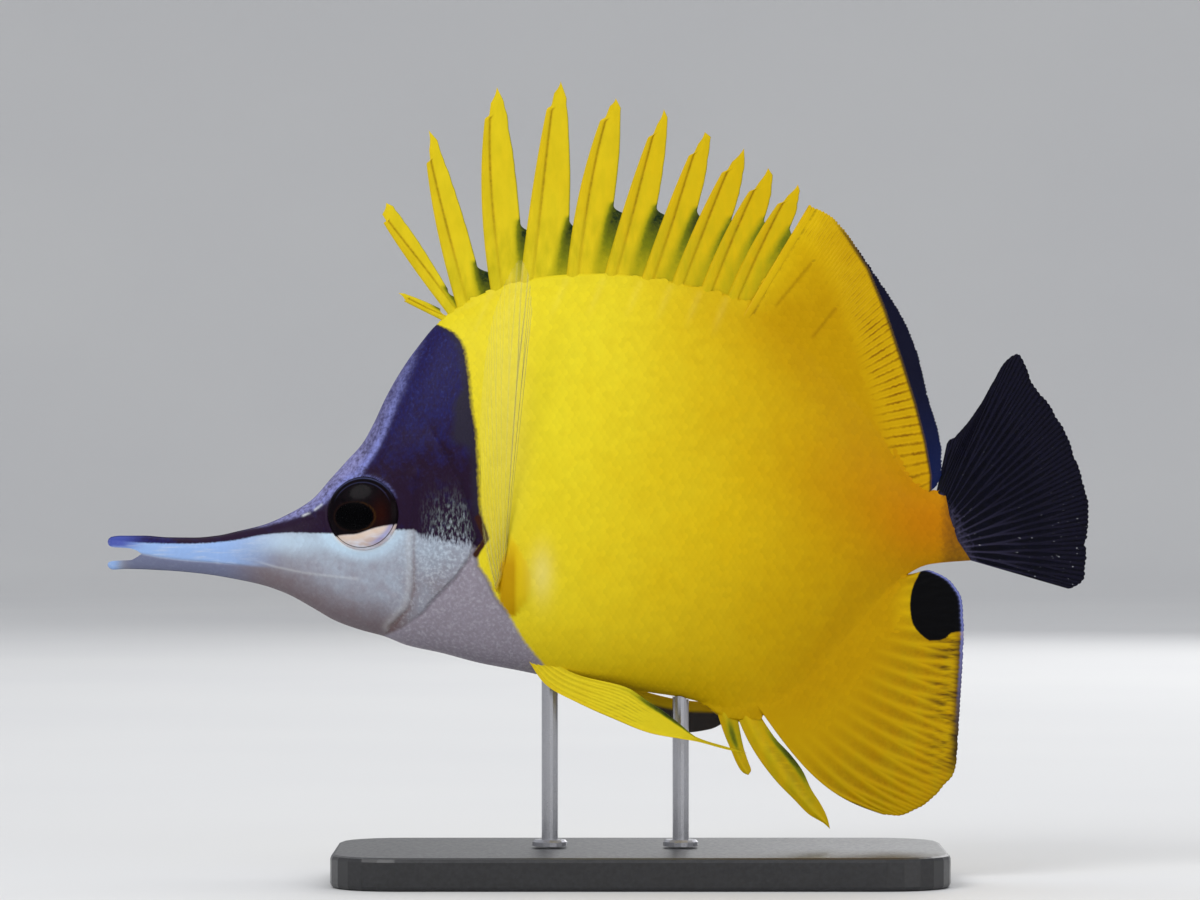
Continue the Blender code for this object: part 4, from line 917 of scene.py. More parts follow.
def make_skin(finish):
    """The skin of head and body as one surface, with the mouth open at the front."""
    stations = body_stations()
    columns = ring_rows(stations)
    turned = np.clip((stations - STALK_START) / STALK_LENGTH, 0, 1)
    root = np.array(TAIL_ROOT)[::-1]
    grid = np.zeros((len(stations), len(columns), 3))
    for j, (h, share, kind) in enumerate(columns):
        root_a = np.interp(h, root[:, 1], root[:, 0]) + 0.3
        a = stations * (1 - turned) + (STALK_START + (root_a - STALK_START) * turned) * turned
        if kind == "crown":
            edge = np.where(h > 0, curve(BACK_EDGE, a), curve(BELLY_EDGE, a))
            y = np.where(share > 0.99, 0.0, edge * (1 - share) + KEEL_EDGE * share)
        else:
            y = (half_width(a, h) + relief(a, h)) * share
        grid[:, j] = np.stack([a, y, h], axis=1)
    tip = (grid[0, :, 2] > 0)
    for jaw in (tip, ~tip):
        grid[0, jaw] = (stations[0], 0.0, grid[1, jaw, 2].mean())
    count, around = len(stations), len(columns)
    points = np.concatenate([(grid * (1, -1, 1)).reshape(-1, 3), grid.reshape(-1, 3)])
    lips = [j for j, column in enumerate(columns) if column[2] == "lip"]
    split = lips[len(lips) // 2 - 1]
    faces = []
    for j in range(around - 1):
        if j == split:
            continue
        reach = count - 1
        if j + 1 in lips or j in lips:
            reach = int(np.searchsorted(stations, MOUTH_END))
        i = np.arange(reach)
        for shift in (0, count * around):
            k = shift + i * around + j
            faces.append(np.stack([k, k + 1, k + around + 1, k + around], axis=1))
    last = (count - 1) * around
    j = np.array([k for k in range(around - 1) if k not in lips and k + 1 not in lips])
    here, there = last + j, count * around + last + j
    faces.append(np.stack([here, here + 1, there + 1, there], axis=1))
    mesh = new_mesh("skin", points, np.concatenate(faces))
    weld(mesh, 1e-6)
    a, _, h = side_view(mesh).T
    add_fields(mesh, markings(a, h))
    piece("skin", mesh, finish, FLESH_NODES)


def scale_rows(grid, step, first, last):
    """Places for scales in staggered rows that keep their distance over the curve of the flank."""
    places_a = np.arange(first, last + 1.0, 1.0)
    heights = np.arange(-50.0, 66.0, grid.step)
    out = grid.read(grid.out, *np.meshgrid(places_a, heights, indexing="ij"))
    slope = np.gradient(out, grid.step, axis=1)
    girth = np.cumsum(np.sqrt(1 + np.clip(slope, -6, 6) ** 2), axis=1) * grid.step
    level = curve(WIDEST_LEVEL, places_a)
    girth -= np.array([np.interp(z, heights, line) for z, line in zip(level, girth)])[:, None]
    found = []
    for k in range(-80, 90):
        row = np.array([np.interp(k * step * ROW_SPACING, line, heights, -99, 99) for line in girth])
        a = np.arange(first + (k % 2) * step / 2, last, step)
        level = np.full(len(a), k * step * ROW_SPACING)
        found.append(np.stack([a, np.interp(a, places_a, row), level], axis=1))
    return np.concatenate(found)


def coat_depth(a, h):
    """How far inside the coat of scales a place on a fin lies; large on the body."""
    rise, drop = beyond(BACK, a, h), -beyond(BELLY, a, h)
    depth = np.full(np.shape(a), 50.0)
    front = -1.6 - off_line(a, h, SOFT_DORSAL_FRONT)
    on_dorsal = np.minimum(-off_line(a, h, DORSAL_BAND) - BARE_FRINGE, front)
    depth = np.where((rise > 0) & (a > SCALED_DORSAL_FROM), on_dorsal, depth)
    return np.where((drop > 0) & (a > SCALED_ANAL_FROM), off_line(a, h, SCALED_ANAL) - 1.5, depth)


def scaled(a, h, rng):
    """Which places carry scales: body and inner fins, but not the eye, the face in front or the fringes."""
    fray = rng.uniform(-1.2, 1.2, len(a))
    rise, drop = beyond(BACK, a, h), -beyond(BELLY, a, h)
    kept = rise < np.where(a > SCALED_DORSAL_FROM, DORSAL_REACH, curve(KEEL, a) - 0.7)
    kept &= drop < np.where(a > SCALED_ANAL_FROM, ANAL_REACH, curve(LOW_KEEL, a) - 0.6)
    kept &= coat_depth(a, h) > fray
    root = np.array(TAIL_ROOT)[::-1]
    kept &= a < np.interp(h, root[:, 1], root[:, 0]) - 0.5
    kept &= (a < 151.0) | (rise < -0.3)
    kept &= (a < 144.5) | (drop < -0.5) | ((drop > 1.5) & (a < 146))
    return kept & (from_eye(a, h) > SCALELESS_RADIUS) & (lobe(a, h) < 0.12)


def scale_shape():
    """One scale: places along and across it in steps of its row, its lift, and its faces."""
    across = np.linspace(-1, 1, 5)
    along, side, lift = [], [], []
    for place, width, height in zip(SCALE_ROWS, SCALE_WIDTHS, SCALE_LIFTS):
        along += [place - 0.07 * v * v * (place > 0.5) for v in across]
        side += [width * v for v in across]
        lift += [height - SCALE_DOME * v * v for v in across]
    faces = [(5 * i + j, 5 * i + 5 + j, 5 * i + 6 + j, 5 * i + 1 + j) for i in range(4) for j in range(4)]
    rim = [5, 10, 15, 20, 21, 22, 23, 24, 19, 14, 9]
    for bottom in (False, True):
        along += [along[k] for k in rim]
        side += [side[k] for k in rim]
        lift += [SCALE_SKIRT if bottom else lift[k] for k in rim]
    faces += [(25 + k, 36 + k, 37 + k, 26 + k) for k in range(len(rim) - 1)]
    return np.array(along), np.array(side), np.array(lift), np.array(faces)


def make_scales(finish, grid):
    """The coat of scales over skin and inner fins, in a few joined pieces."""
    rng = np.random.default_rng(SCALE_SEED)
    template, batches = scale_shape(), []
    for step, first, last in ((FACE_SCALE_STEP, FACE_START, 84.0), (SCALE_STEP, 58.0, SCALED_END)):
        places = scale_rows(grid, step, first, last)
        places = places[scaled(places[:, 0], places[:, 1], rng)]
        behind = places[:, 0] > curve(MASK_REAR, places[:, 1]) + FACE_MARGIN
        places = places[behind == (step == SCALE_STEP)]
        batches.append(np.column_stack([places, np.full(len(places), step)]))
    places = np.concatenate(batches)
    for side, word in SIDES:
        order = np.argsort(places[:, 0], kind="stable")
        for number, start in enumerate(range(0, len(order), COAT_PIECE_SCALES)):
            batch = places[order[start:start + COAT_PIECE_SCALES]]
            coat_piece(f"scales_{word}_{number}", batch, side, rng, template, grid, finish)


def coat_piece(name, batch, side, rng, template, grid, finish):
    """Scales in one mesh, each leaning with the flank and a little unlike its neighbours."""
    along, across, lift, shape = template
    a0, h0, girth, step = (batch[:, i, None] for i in range(4))
    count = len(batch)
    back, belly = curve(BACK, a0), curve(BELLY, a0)
    upwards, downwards = np.clip((h0 - back + 14) / 24, 0, 1), np.clip((belly + 10 - h0) / 18, 0, 1)
    lean = np.where(h0 > back - 14, upwards, -downwards)
    lean = lean * smooth((a0 - 108) / 20) * 0.75 + rng.normal(0, 0.05, (count, 1))
    size = step * (1 + rng.normal(0, 0.03, (count, 1)))
    u, v = along[None] * size, across[None] * size
    ahead, up = u * np.cos(lean) - v * np.sin(lean), u * np.sin(lean) + v * np.cos(lean)
    slope_a, slope_h = grid.read(grid.slope_a, a0, h0), grid.read(grid.slope_h, a0, h0)
    a = a0 + ahead / np.sqrt(1 + slope_a**2)
    h = h0 + up / np.sqrt(1 + np.clip(slope_h, -6, 6) ** 2)
    raised = lift[None] * (step / SCALE_STEP) + rng.normal(0, 0.004, (count, 1))
    raised = raised - SCALE_SINK * np.exp(-np.clip(coat_depth(a0, h0) + 1.2, 0, None) / 1.5)
    points = grid.place(a, h, raised, side)
    corners = len(along)
    faces = (shape[None] + corners * np.arange(count)[:, None, None]).reshape(-1, 4)
    mesh = new_mesh(name, points.reshape(-1, 3), faces if side == LEFT else faces[:, ::-1])
    add_fields(mesh, markings(a0 + BLEED * (a - a0), h0 + BLEED * (h - h0)))
    shade = np.repeat(rng.uniform(0, 1, (count, 1)), corners, axis=1)
    # edge runs from each scale's root to its free edge; the scale paint uses it for painted shade at the root
    # and a painted highlight at the free edge
    add_fields(mesh, {"shade": shade, "edge": np.tile((along + 0.75) / 1.63, (count, 1))})
    layer = mesh.uv_layers.new(name="OFBake")
    root_u = 0.01 + 0.48 * a0 / UNWRAP_LENGTH + (0.5 if side == RIGHT else 0.0)
    root = np.stack([root_u, 0.02 + 0.96 * (girth + UNWRAP_BELOW) / UNWRAP_GIRTH], axis=-1)
    spot = root + np.stack([u, v], axis=-1) / size[..., None] * UNWRAP_SCALE
    loops = np.zeros(len(mesh.loops), np.int32)
    mesh.loops.foreach_get("vertex_index", loops)
    layer.data.foreach_set("uv", spot.reshape(-1, 2)[loops].astype(np.float32).ravel())
    piece(name, mesh, finish)


def ball(name, middle, axes, radii, around, along):
    """A closed, rounded mesh, its poles on the first axis."""
    turns = np.linspace(0, 2 * math.pi, around, endpoint=False)
    tilt, turn = np.meshgrid(np.linspace(0, math.pi, along), turns)
    unit = np.stack([np.cos(tilt), np.sin(tilt) * np.cos(turn), np.sin(tilt) * np.sin(turn)], axis=-1)
    points = np.asarray(middle) + (unit * radii) @ np.asarray(axes)
    k = np.arange(around)[:, None] * along + np.arange(along - 1)[None]
    m = (np.arange(around)[:, None] + 1) % around * along + np.arange(along - 1)[None]
    mesh = new_mesh(name, points.reshape(-1, 3), np.stack([k, k + 1, m + 1, m], axis=-1).reshape(-1, 4))
    weld(mesh)
    return mesh


def make_eye(side, word, finish, around=160, along=72):
    """An eyeball set in its socket, looking out sideways."""
    a, h = EYE_AT
    reach = 2 / 3 * EYE_RADIUS
    slope_a = (half_width(a + reach, h) - half_width(a - reach, h)) / (2 * reach)
    slope_h = (half_width(a, h + reach) - half_width(a, h - reach)) / (2 * reach)
    out = np.array([-slope_a, 1.0, -slope_h])
    out /= np.linalg.norm(out)
    back = np.array([1.0, slope_a, 0.0])
    back /= np.linalg.norm(back)
    up = np.cross(back, out)
    middle = np.array([a, half_width(a, h), h]) - out * EYE_SUNK
    mirror = np.array([1, side, 1])
    axes, radii = np.array([out, back, up]) * mirror, (EYE_DEPTH, EYE_RADIUS, EYE_RADIUS)
    mesh = ball(f"eyeball_{word}", middle * mirror, axes, radii, around, along)
    at = side_view(mesh) * (1, side, 1) - middle
    x, z = at @ back, at @ up
    radius = np.hypot(x, z)
    pupil = np.hypot((x - PUPIL_AT[0]) / PUPIL_RADII[0], (z - PUPIL_AT[1]) / PUPIL_RADII[1])
    pupil *= 1 - 0.08 * smooth(-(x - PUPIL_AT[0]) / 3.5)
    below = 0.2 * (x + 4.1) - 4.1 - 0.5 * hump(x + 0.6, 2.4) - z
    fields = {
        "pupil": fade(1 - pupil, 0.06),
        "pupil_ring": hump(pupil - 1.07, 0.05) * (0.2 + 0.8 * fade(x - 0.5, 4)),
        "ember": 0.9 * hump(x - 3.6, 1.5) * hump(z + 0.4, 3.0),
        "crescent": fade(below, 0.8) * (1 - 0.8 * hump(radius - 6.3, 0.1)),
        "cream": 0.8 * hump(below - 0.5, 0.8),
        "lilac": 0.6 * hump(radius - 5.9, 0.45) * fade(x - 2, 3),
        "ring": 0.2 * hump(radius - 6.4, 0.12) * fade(z - 4, 3)
        + 0.1 * hump(radius - 5.6, 0.08) * fade(z - 3, 3),
    }
    add_fields(mesh, fields)
    piece(f"eyeball_{word}", mesh, finish, [f"eye_{word}"])


def leaf(name, place, half, fields, finish, nodes=()):
    """A closed thin piece about a grid of middle points, given by their a, y and h."""
    middle = np.stack(np.broadcast_arrays(*place), axis=-1)
    columns, rows = half.shape
    out = np.cross(np.gradient(middle, axis=0), np.gradient(middle, axis=1))
    out /= np.maximum(np.linalg.norm(out, axis=2), 1e-9)[:, :, None]
    spread = out * half[:, :, None]
    points = np.concatenate([(middle + spread).reshape(-1, 3), (middle - spread).reshape(-1, 3)])
    index = np.arange(columns * rows).reshape(columns, rows)
    front = np.stack([index[:-1, :-1], index[1:, :-1], index[1:, 1:], index[:-1, 1:]], axis=-1).reshape(-1, 4)
    border = np.concatenate([index[:, 0], index[-1, 1:], index[-2::-1, -1], index[0, -2:0:-1]])
    ahead, other = np.roll(border, -1), columns * rows
    edge = np.stack([ahead, border, other + border, other + ahead], axis=1)
    mesh = new_mesh(name, points, np.concatenate([front, front[:, ::-1] + other, edge]))
    add_fields(mesh, {key: np.concatenate([value.ravel()] * 2) for key, value in fields.items()})
    piece(name, mesh, finish, nodes)


def branching(number, share, splits=((0.42, 0.3), (0.74, 0.2)), width=0.13):
    """Height of a fin's rays, from 0 to 1, where each ray forks on its way to the margin."""
    first, second = (
        offset * smooth((share - start) / length) for offset, (start, length) in zip((0.25, 0.125), splits)
    )
    narrow, ridge = width * (1 - 0.45 * smooth((share - 0.3) / 0.7)), np.zeros(number.shape)
    for fork in (-first - second, second - first, first - second, first + second):
        away = number - fork
        ridge = np.maximum(ridge, hump(np.abs(away - np.round(away)), narrow))
    return ridge


def thinned(share, amount, start):
    """How much of a thickness is left where a sheet thins towards its edge, from a share on."""
    return 1 - amount * smooth((share - start) / (1 - start))


def ray_shares(rays, columns_per_ray):
    """Shares across a fin from its first ray to its last."""
    return np.linspace(0, 1, columns_per_ray * (rays - 1) + 1)


def spread(ends, share):
    return ends[0] + (ends[1] - ends[0]) * share


def outward(points, line, distance):
    """Points moved away from the body along the normal of an outline of (a, h) points."""
    step = 0.5
    ahead = curve(line, points + step) - curve(line, points - step)
    normal = np.stack([-ahead, np.full(len(points), 2 * step)], axis=1)
    normal /= np.linalg.norm(normal, axis=1)[:, None]
    return np.stack([points, curve(line, points)], axis=1) + normal * np.reshape(distance, (-1, 1))


def fray(count, rng, size, knots):
    """A seeded, softly ragged line of offsets along a margin."""
    coarse = rng.normal(0, size, knots)
    return np.interp(np.linspace(0, 1, count), np.linspace(0, 1, knots), coarse)


def fan(bases, tips, rays, rows, bow=0.0, scallop=0.3, ragged=0.12, seed=FRAY_SEED):
    """Side view points, ray numbers, shares and distances from the root of a fin with rays."""
    rng = np.random.default_rng(seed)
    columns = len(bases)
    number = np.linspace(0, rays - 1, columns)[:, None] * np.ones((1, rows))
    share = np.linspace(0, 1, rows)[None] * np.ones((columns, 1))
    length = np.linalg.norm(tips - bases, axis=1)
    edge_ray = branching(number[:, -1], share[:, -1])
    pull = scallop * (1 - edge_ray) + np.abs(fray(columns, rng, ragged, columns // 5))
    tips = tips - (tips - bases) * (pull / length)[:, None]
    flat = bases[:, None] * (1 - share[..., None]) + tips[:, None] * share[..., None]
    flat[..., 1] += np.sin(math.pi * share) * (bow * length)[:, None]
    return flat, number, share, share * length[:, None]


def no_fields(shape, **given):
    """All the weights that the fin paint reads, 0 where not given."""
    return {name: np.broadcast_to(given.get(name, 0.0), shape).astype(float) for name in FIN_FIELDS}


def make_soft_dorsal(finish, columns_per_ray=18, rows=64):
    """The soft fin of the back: fine bars along its fringe, then a glassy blue band."""
    share = ray_shares(SOFT_DORSAL_RAYS, columns_per_ray)
    roots = spread(SOFT_DORSAL_ROOT, curve(SOFT_DORSAL_SPREAD, share))
    bases, tips = outward(roots, BACK, -FIN_SUNK), path(SOFT_DORSAL_MARGIN, share)
    flat, number, along, _ = fan(bases, tips, SOFT_DORSAL_RAYS, rows, scallop=0.2)
    a, h = flat[..., 0], flat[..., 1]
    from_front = -off_line(a, h, [flat[0, 0], flat[0, -1]])
    rod = np.sqrt(np.clip(1 - (from_front / 0.75 - 1) ** 2, 0, 1)) * (1 - 0.5 * along)
    # a shallow groove behind the front rod; the paint darkens it as painted shade
    groove = hump(from_front - 1.6, 0.2)
    beyond_band = off_line(a, h, DORSAL_BAND)
    band = fade(beyond_band, 0.35) * fade(a - 136, 5)
    fringe = smooth((beyond_band + 9.5) / 5) * (1 - band)
    crowd = 1.5 + 2.2 * (1 - smooth((number[:, 0] - 3) / 11))
    phase = np.cumsum(crowd)[:, None] / columns_per_ray * np.ones(a.shape)
    bar = 1 - 0.8 * hump(phase - np.round(phase), 0.2)
    ray = branching(number, along, width=0.2) * (1 - fringe) + bar * fringe
    ridge = 0.13 * ray * (0.12 + 0.88 * fringe) * smooth((along - 0.12) / 0.3)
    half = fin_thickness(beyond(BACK, a, h)) * thinned(along, 0.4, 0.8) + ridge * (1 - 0.6 * band)
    half += 0.26 * rod - 0.05 * groove
    zones = markings(a, h)
    fields = no_fields(
        a.shape, ray=ray, tooth=phase, warm=zones["warm"], band=band, deep=smooth((34 - h) / 26),
        clear=0.08 * band, film=0.9 * hump(beyond_band + 0.1, 0.25) * fade(a - 134, 4),
        comb=smooth((beyond_band + 10) / 6.5) * (1 - band) * (0.4 + 0.55 * smooth((54 - h) / 26)),
        gold=np.clip(zones["gold"] - 0.45 * fringe, 0, 1),
        # umber in the groove and along the folds is painted shade
        orange=0.5 * zones["orange"] + 0.1 * fringe + 0.15 * hump(from_front, 0.4),
        streak=np.clip(0.35 * groove + 0.5 * zones["fold"], 0, 1),
    )
    leaf("soft_dorsal", (a, 0, h), half, fields, finish, ["dorsal_soft"])
    return flat[0]


def make_soft_anal(finish, columns_per_ray=12, rows=60):
    """The soft anal fin: broad pale rays, dark streaks at its rear edge, and the black spot."""
    share = ray_shares(SOFT_ANAL_RAYS, columns_per_ray)
    roots = spread(SOFT_ANAL_ROOT, share**SOFT_ANAL_SPREAD)
    bases, tips = outward(roots, BELLY, FIN_SUNK), path(SOFT_ANAL_MARGIN, share)
    bow = SOFT_ANAL_BOW[0] + SOFT_ANAL_BOW[1] * np.exp(-share * (SOFT_ANAL_RAYS - 1) / SOFT_ANAL_BOW[2])
    flat, number, along, distance = fan(bases, tips, SOFT_ANAL_RAYS, rows, bow, 0.15, 0.1, seed=5)
    a, h = flat[..., 0], flat[..., 1]
    ray = branching(number, along, ((0.5, 0.35), (0.8, 0.18)), 0.24)
    edge = np.linalg.norm(flat - flat[:, -1:], axis=2)
    outer = smooth((along - 0.15) / 0.55)
    half = fin_thickness(distance - FIN_SUNK) * thinned(along, 0.4, 0.8)
    half += 0.18 * ray * (0.1 + 0.9 * outer) * smooth((along - 0.1) / 0.3)
    rear = fade(a - 148, 8) * fade(-15 - h, 3) * (0.15 + 0.85 * fade(h + 39, 6))
    zones = markings(a, h)
    fields = no_fields(
        a.shape, ray=ray, fringe=0.7 * outer, warm=zones["warm"], gold=zones["gold"], moss=0.3 * outer,
        orange=0.3 * zones["orange"] + 0.12 * outer,
        streak=1.3 * smooth((8 - edge) / 7) * rear * (1 - 0.7 * ray),
        film=np.clip(0.9 * smooth((2 - edge) / 1.8) * rear + 0.4 * hump(number, 0.2) * (along > 0.75), 0, 1),
        trim=hump(edge - 0.2, 0.25) * fade(a - 150, 3) * smooth((h + 36) / 20) * 0.9,
        spot=fade(off_line(a, h, path(SPOT, np.linspace(0, 1, 40))), 0.5),
    )
    leaf("soft_anal", (a, 0, h), half, fields, finish, ["anal_soft"])


def front_edge(spine, sink=2.0):
    """The line up the front of a spine."""
    root, top = np.array(spine[0], float), np.array(spine[1], float)
    ahead = (top - root) / np.linalg.norm(top - root)
    forward = np.array([-abs(ahead[1]), ahead[0] * np.sign(ahead[1])])
    share = np.linspace(0, 1, 13)[:, None]
    bowed = root + (top - root) * share + forward * spine[5] * 4 * share * (1 - share)
    return np.concatenate([[root - ahead * sink], bowed])


def level_on(line, levels):
    """Points on a line of (a, h) points at given levels."""
    order = np.argsort(line[:, 1])
    return np.stack([np.interp(levels, line[order, 1], line[order, 0]), levels], axis=1)


def spine_blade(name, spine, front, following, rng, finish, nodes, columns=36, rows=110, cap=16):
    """A spine of the back: a rod in front, a flag of skin, and dark web down to the next spine."""
    tip, rear_top, notch = (np.array(v, float) for v in spine[2:5])
    up = np.concatenate([[0], np.cumsum(np.linalg.norm(np.diff(front, axis=0), axis=1))])
    share = np.linspace(0, 1, rows)
    lead = np.stack([np.interp(share * up[-1], up, front[:, i]) for i in (0, 1)], axis=1)
    lead[:, 0] += ROD_STEP * (fade(share - ROD_END, 0.02) - 0.5 * smooth(share / ROD_END))
    notch_share = float(np.clip((notch[1] - front[0, 1]) / (front[-1, 1] - front[0, 1]), 0.1, 0.8))
    webbed = share < notch_share
    levels = front[0, 1] + (notch[1] - front[0, 1]) * np.clip(share / notch_share, 0, 1)
    free = np.clip((share - notch_share) / (1 - notch_share), 0, 1)[:, None]
    flag = notch + (rear_top - notch) * free + np.array([0.35, 0.0]) * np.sin(math.pi * free)
    flag[:, 0] += fray(rows, rng, 0.07, 30) * free[:, 0]
    dip = (1 - np.clip((levels - notch[1] + WEB_DIP) / WEB_DIP, 0, 1)) ** 2.5
    joined = level_on(following, levels)
    dip[levels < notch[1] - WEB_DIP] = 1.0
    joined[:, 0] = notch[0] + (joined[:, 0] + 0.5 - notch[0]) * dip
    rear = np.where(webbed[:, None], joined, flag)
    over = np.linspace(0, 1, cap + 1)[1:, None]
    lead = np.concatenate([lead, lead[-1] + (tip - lead[-1]) * over + (0.2, 0) * np.sin(math.pi * over)])
    rear = np.concatenate([rear, rear[-1] + (tip - rear[-1]) * over])
    across = np.linspace(0, 1, columns)[:, None]
    flat = lead[None] * (1 - across[..., None]) + rear[None] * across[..., None]
    length = np.concatenate([share, np.ones(cap)])[None]
    width = np.maximum(np.linalg.norm(rear - lead, axis=1), 0.02)[None]
    from_lead = across * width
    rod_width = 0.48 * (ROD_STEP + 1.6 * (1 - length**2)) * np.minimum(1, 0.5 * width + 0.2)
    below_notch = 1 - fade(length - ROD_END, 0.02)
    rod = below_notch * np.sqrt(np.clip(1 - ((from_lead - rod_width) / rod_width) ** 2, 0, 1))
    # a shallow groove behind each rod; the paint darkens it as painted shade
    groove = below_notch * hump(from_lead - 2.1 * rod_width, 0.2)
    thin = np.concatenate([np.zeros(rows), over[:, 0]])[None] ** 2
    half = 0.2 + (0.5 - 0.24 * length) * rod - 0.07 * groove + 0.06 * hump(across - 0.62, 0.22)
    half = np.where(from_lead < rod_width, np.maximum(half, 0.3 * rod + 0.12), half) * (1 - 0.55 * thin)
    half *= thinned(across, 0.5, 0.93)
    a, h = flat[..., 0], flat[..., 1]
    depth = notch[1] - h
    rod_a, notch_rod_a = (np.interp(level, lead[:rows, 1], lead[:rows, 0]) for level in (h, notch[1]))
    behind = a - rod_a - (notch[0] - notch_rod_a) * (1 - 0.02 * np.clip(depth, 0, 12))
    web = fade(depth + 0.5, 1.0) * np.exp(-np.clip(depth - 2.5, 0, None) / 6.5) * fade(behind + 0.4, 2.4)
    web *= 1 - 0.45 * smooth((spine[0][0] - 94) / 16)
    edge_dark = 0.5 * smooth((across - 0.965) / 0.02) * (depth < 0)
    rearward = smooth((a - 70) / 60)
    fields = no_fields(
        a.shape, warm=0.2 + 0.6 * rearward, clear=0.1 * web, web=np.clip(web + edge_dark, 0, 1),
        gold=np.clip(0.3 * rod * smooth(length * 1.4) + 0.45 * rearward, 0, 1),
        # the orange and umber in the groove, and the amber from taking it off the rays, are painted shade
        orange=0.35 * groove * smooth(length * 2) + 0.2 * hump(from_lead, 0.35),
        streak=0.25 * groove * hump(length - 0.6, 0.25), moss=0.3 + 0.4 * smooth((depth + 3) / 9),
        ray=1 - groove, fringe=0.8 * smooth(length * 1.5),
    )
    leaf(name, (a, 0, h), half, fields, finish, nodes)


def lance(front, rear, columns, rows):
    """Places between two edges of a long, thin blade, with the share across it and the share along it."""
    share = np.linspace(0, 1, rows) ** 0.9
    across, along = np.meshgrid(np.linspace(0, 1, columns), share, indexing="ij")
    flat = path(front, share)[None] * (1 - across[..., None]) + path(rear, share)[None] * across[..., None]
    return flat[..., 0], flat[..., 1], across, along


def make_spines(finish, dorsal_front):
    """The free spines of the back, and the two before the anal fin."""
    rng = np.random.default_rng(FRAY_SEED)
    fronts = [front_edge(spine) for spine in DORSAL_SPINES] + [dorsal_front]
    for i, spine in enumerate(DORSAL_SPINES):
        nodes = () if i else ["dorsal_spines"]
        spine_blade(f"dorsal_spine_{i + 1:02d}", spine, *fronts[i:i + 2], rng, finish, nodes)
    for i, edges in enumerate(ANAL_SPINES):
        a, h, across, along = lance(*edges, 30, 80)
        rod = hump(across - 0.36, 0.2)
        half = (0.3 + 0.45 * rod * (1 - 0.4 * along)) * thinned(along, 0.5, 0.7) * thinned(across, 0.5, 0.9)
        dark = (0.9 if i else 0.3) * smooth((across - 0.72) / 0.2) * hump(along - 0.42, 0.22)
        heart = (0.0 if i else 0.7) * hump(across - 0.5, 0.2) * hump(along - 0.45, 0.2)
        fields = no_fields(
            a.shape, warm=0.75, gold=0.35 + 0.3 * (1 - rod), web=dark + heart, moss=0.7,
            streak=0.25 * hump(across - 0.6, 0.2) * hump(along - 0.5, 0.3), orange=0.2 * hump(across, 0.1),
        )
        nodes = () if i else ["anal_spines"]
        leaf(f"anal_spine_{i + 1}", (a, 0, h), half, fields, finish, nodes)


def make_tail(finish, columns_per_ray=12, rows=64):
    """The tail fin: from the stalk's own width it thins quickly to a sheet of forking rays."""
    share = ray_shares(TAIL_RAYS, columns_per_ray)
    bases, tips = path(TAIL_ROOT[1:-1], 0.02 + 0.96 * share) - (FIN_SUNK, 0), path(TAIL_MARGIN, share)
    flat, number, along, distance = fan(bases, tips, TAIL_RAYS, rows, scallop=0.2, ragged=0.18, seed=3)
    a, h = flat[..., 0], flat[..., 1]
    ray = branching(number, along, ((0.25, 0.3), (0.6, 0.25)))
    thin = np.clip(along / 0.32, 0, 1) ** 0.7
    half = 0.97 * half_width(*bases.T)[:, None] * (1 - thin)
    half = half + MEMBRANE * 0.9 * thin * thinned(along, 0.4, 0.8) + 0.15 * ray * smooth((along - 0.06) / 0.2)
    fields = {
        "ray": ray,
        "haze": 0.5 * smooth(1 - distance / 7.5) * smooth(1.3 - np.abs(h - 2) / 12),
        "glow": 0.1 + 0.35 * smooth(1 - distance / 16) * smooth((12 - h) / 10),
        "fleck": ray * (0.04 + 0.8 * smooth((12 - h) / 12)),
    }
    swing = TAIL_BEND * np.clip(a - TAIL_ROOT[1][0], 0, None) ** 2
    leaf("tail", (a, swing, h), half, fields, finish, ["tail_fin"])


def make_pectoral(side, word, finish, columns_per_ray=14, rows=56):
    """A folded side fin, its thin rays standing up from a fleshy root."""
    share = ray_shares(PECTORAL_RAYS, columns_per_ray)
    bases, tips = path(PECTORAL_ROOT, share) - (0, 1.5), path(PECTORAL_TIPS, share)
    flat, number, along, distance = fan(bases, tips, PECTORAL_RAYS, rows, scallop=0.3, seed=9)
    a, h = flat[..., 0] - PECTORAL_BOW * np.sin(math.pi * along) * (1 - share[:, None]), flat[..., 1]
    rise = h - PECTORAL_ROOT[0][1]
    out = half_width(*PECTORAL_ROOT[0]) + PECTORAL_OUT + PECTORAL_FLARE * rise + PECTORAL_CURL * rise**2
    ray = branching(number, along, ((0.6, 0.3), (2.0, 0.1)), 0.1)
    half = 0.08 + 0.14 * ray * (1 - 0.6 * along) + 0.2 * np.exp(-distance / 2.5)
    strong = 0.07 + 0.16 * hump(share - 0.55, 0.22) + 0.9 * smooth((share - 0.74) / 0.18)
    bunched = 0.6 * hump((number / 1.7) % 1 - 0.5, 0.16) * smooth(1 - distance / 16)
    shown = np.maximum(ray * strong[:, None] * thinned(along, 0.4, 0.7), bunched)
    fields = {"ray": np.clip(shown, 0, 1), "flesh": smooth(1 - distance / 1.8)}
    leaf(f"pectoral_fin_{word}", (a, side * out, h), half, fields, finish, [f"pectoral_{word}"])


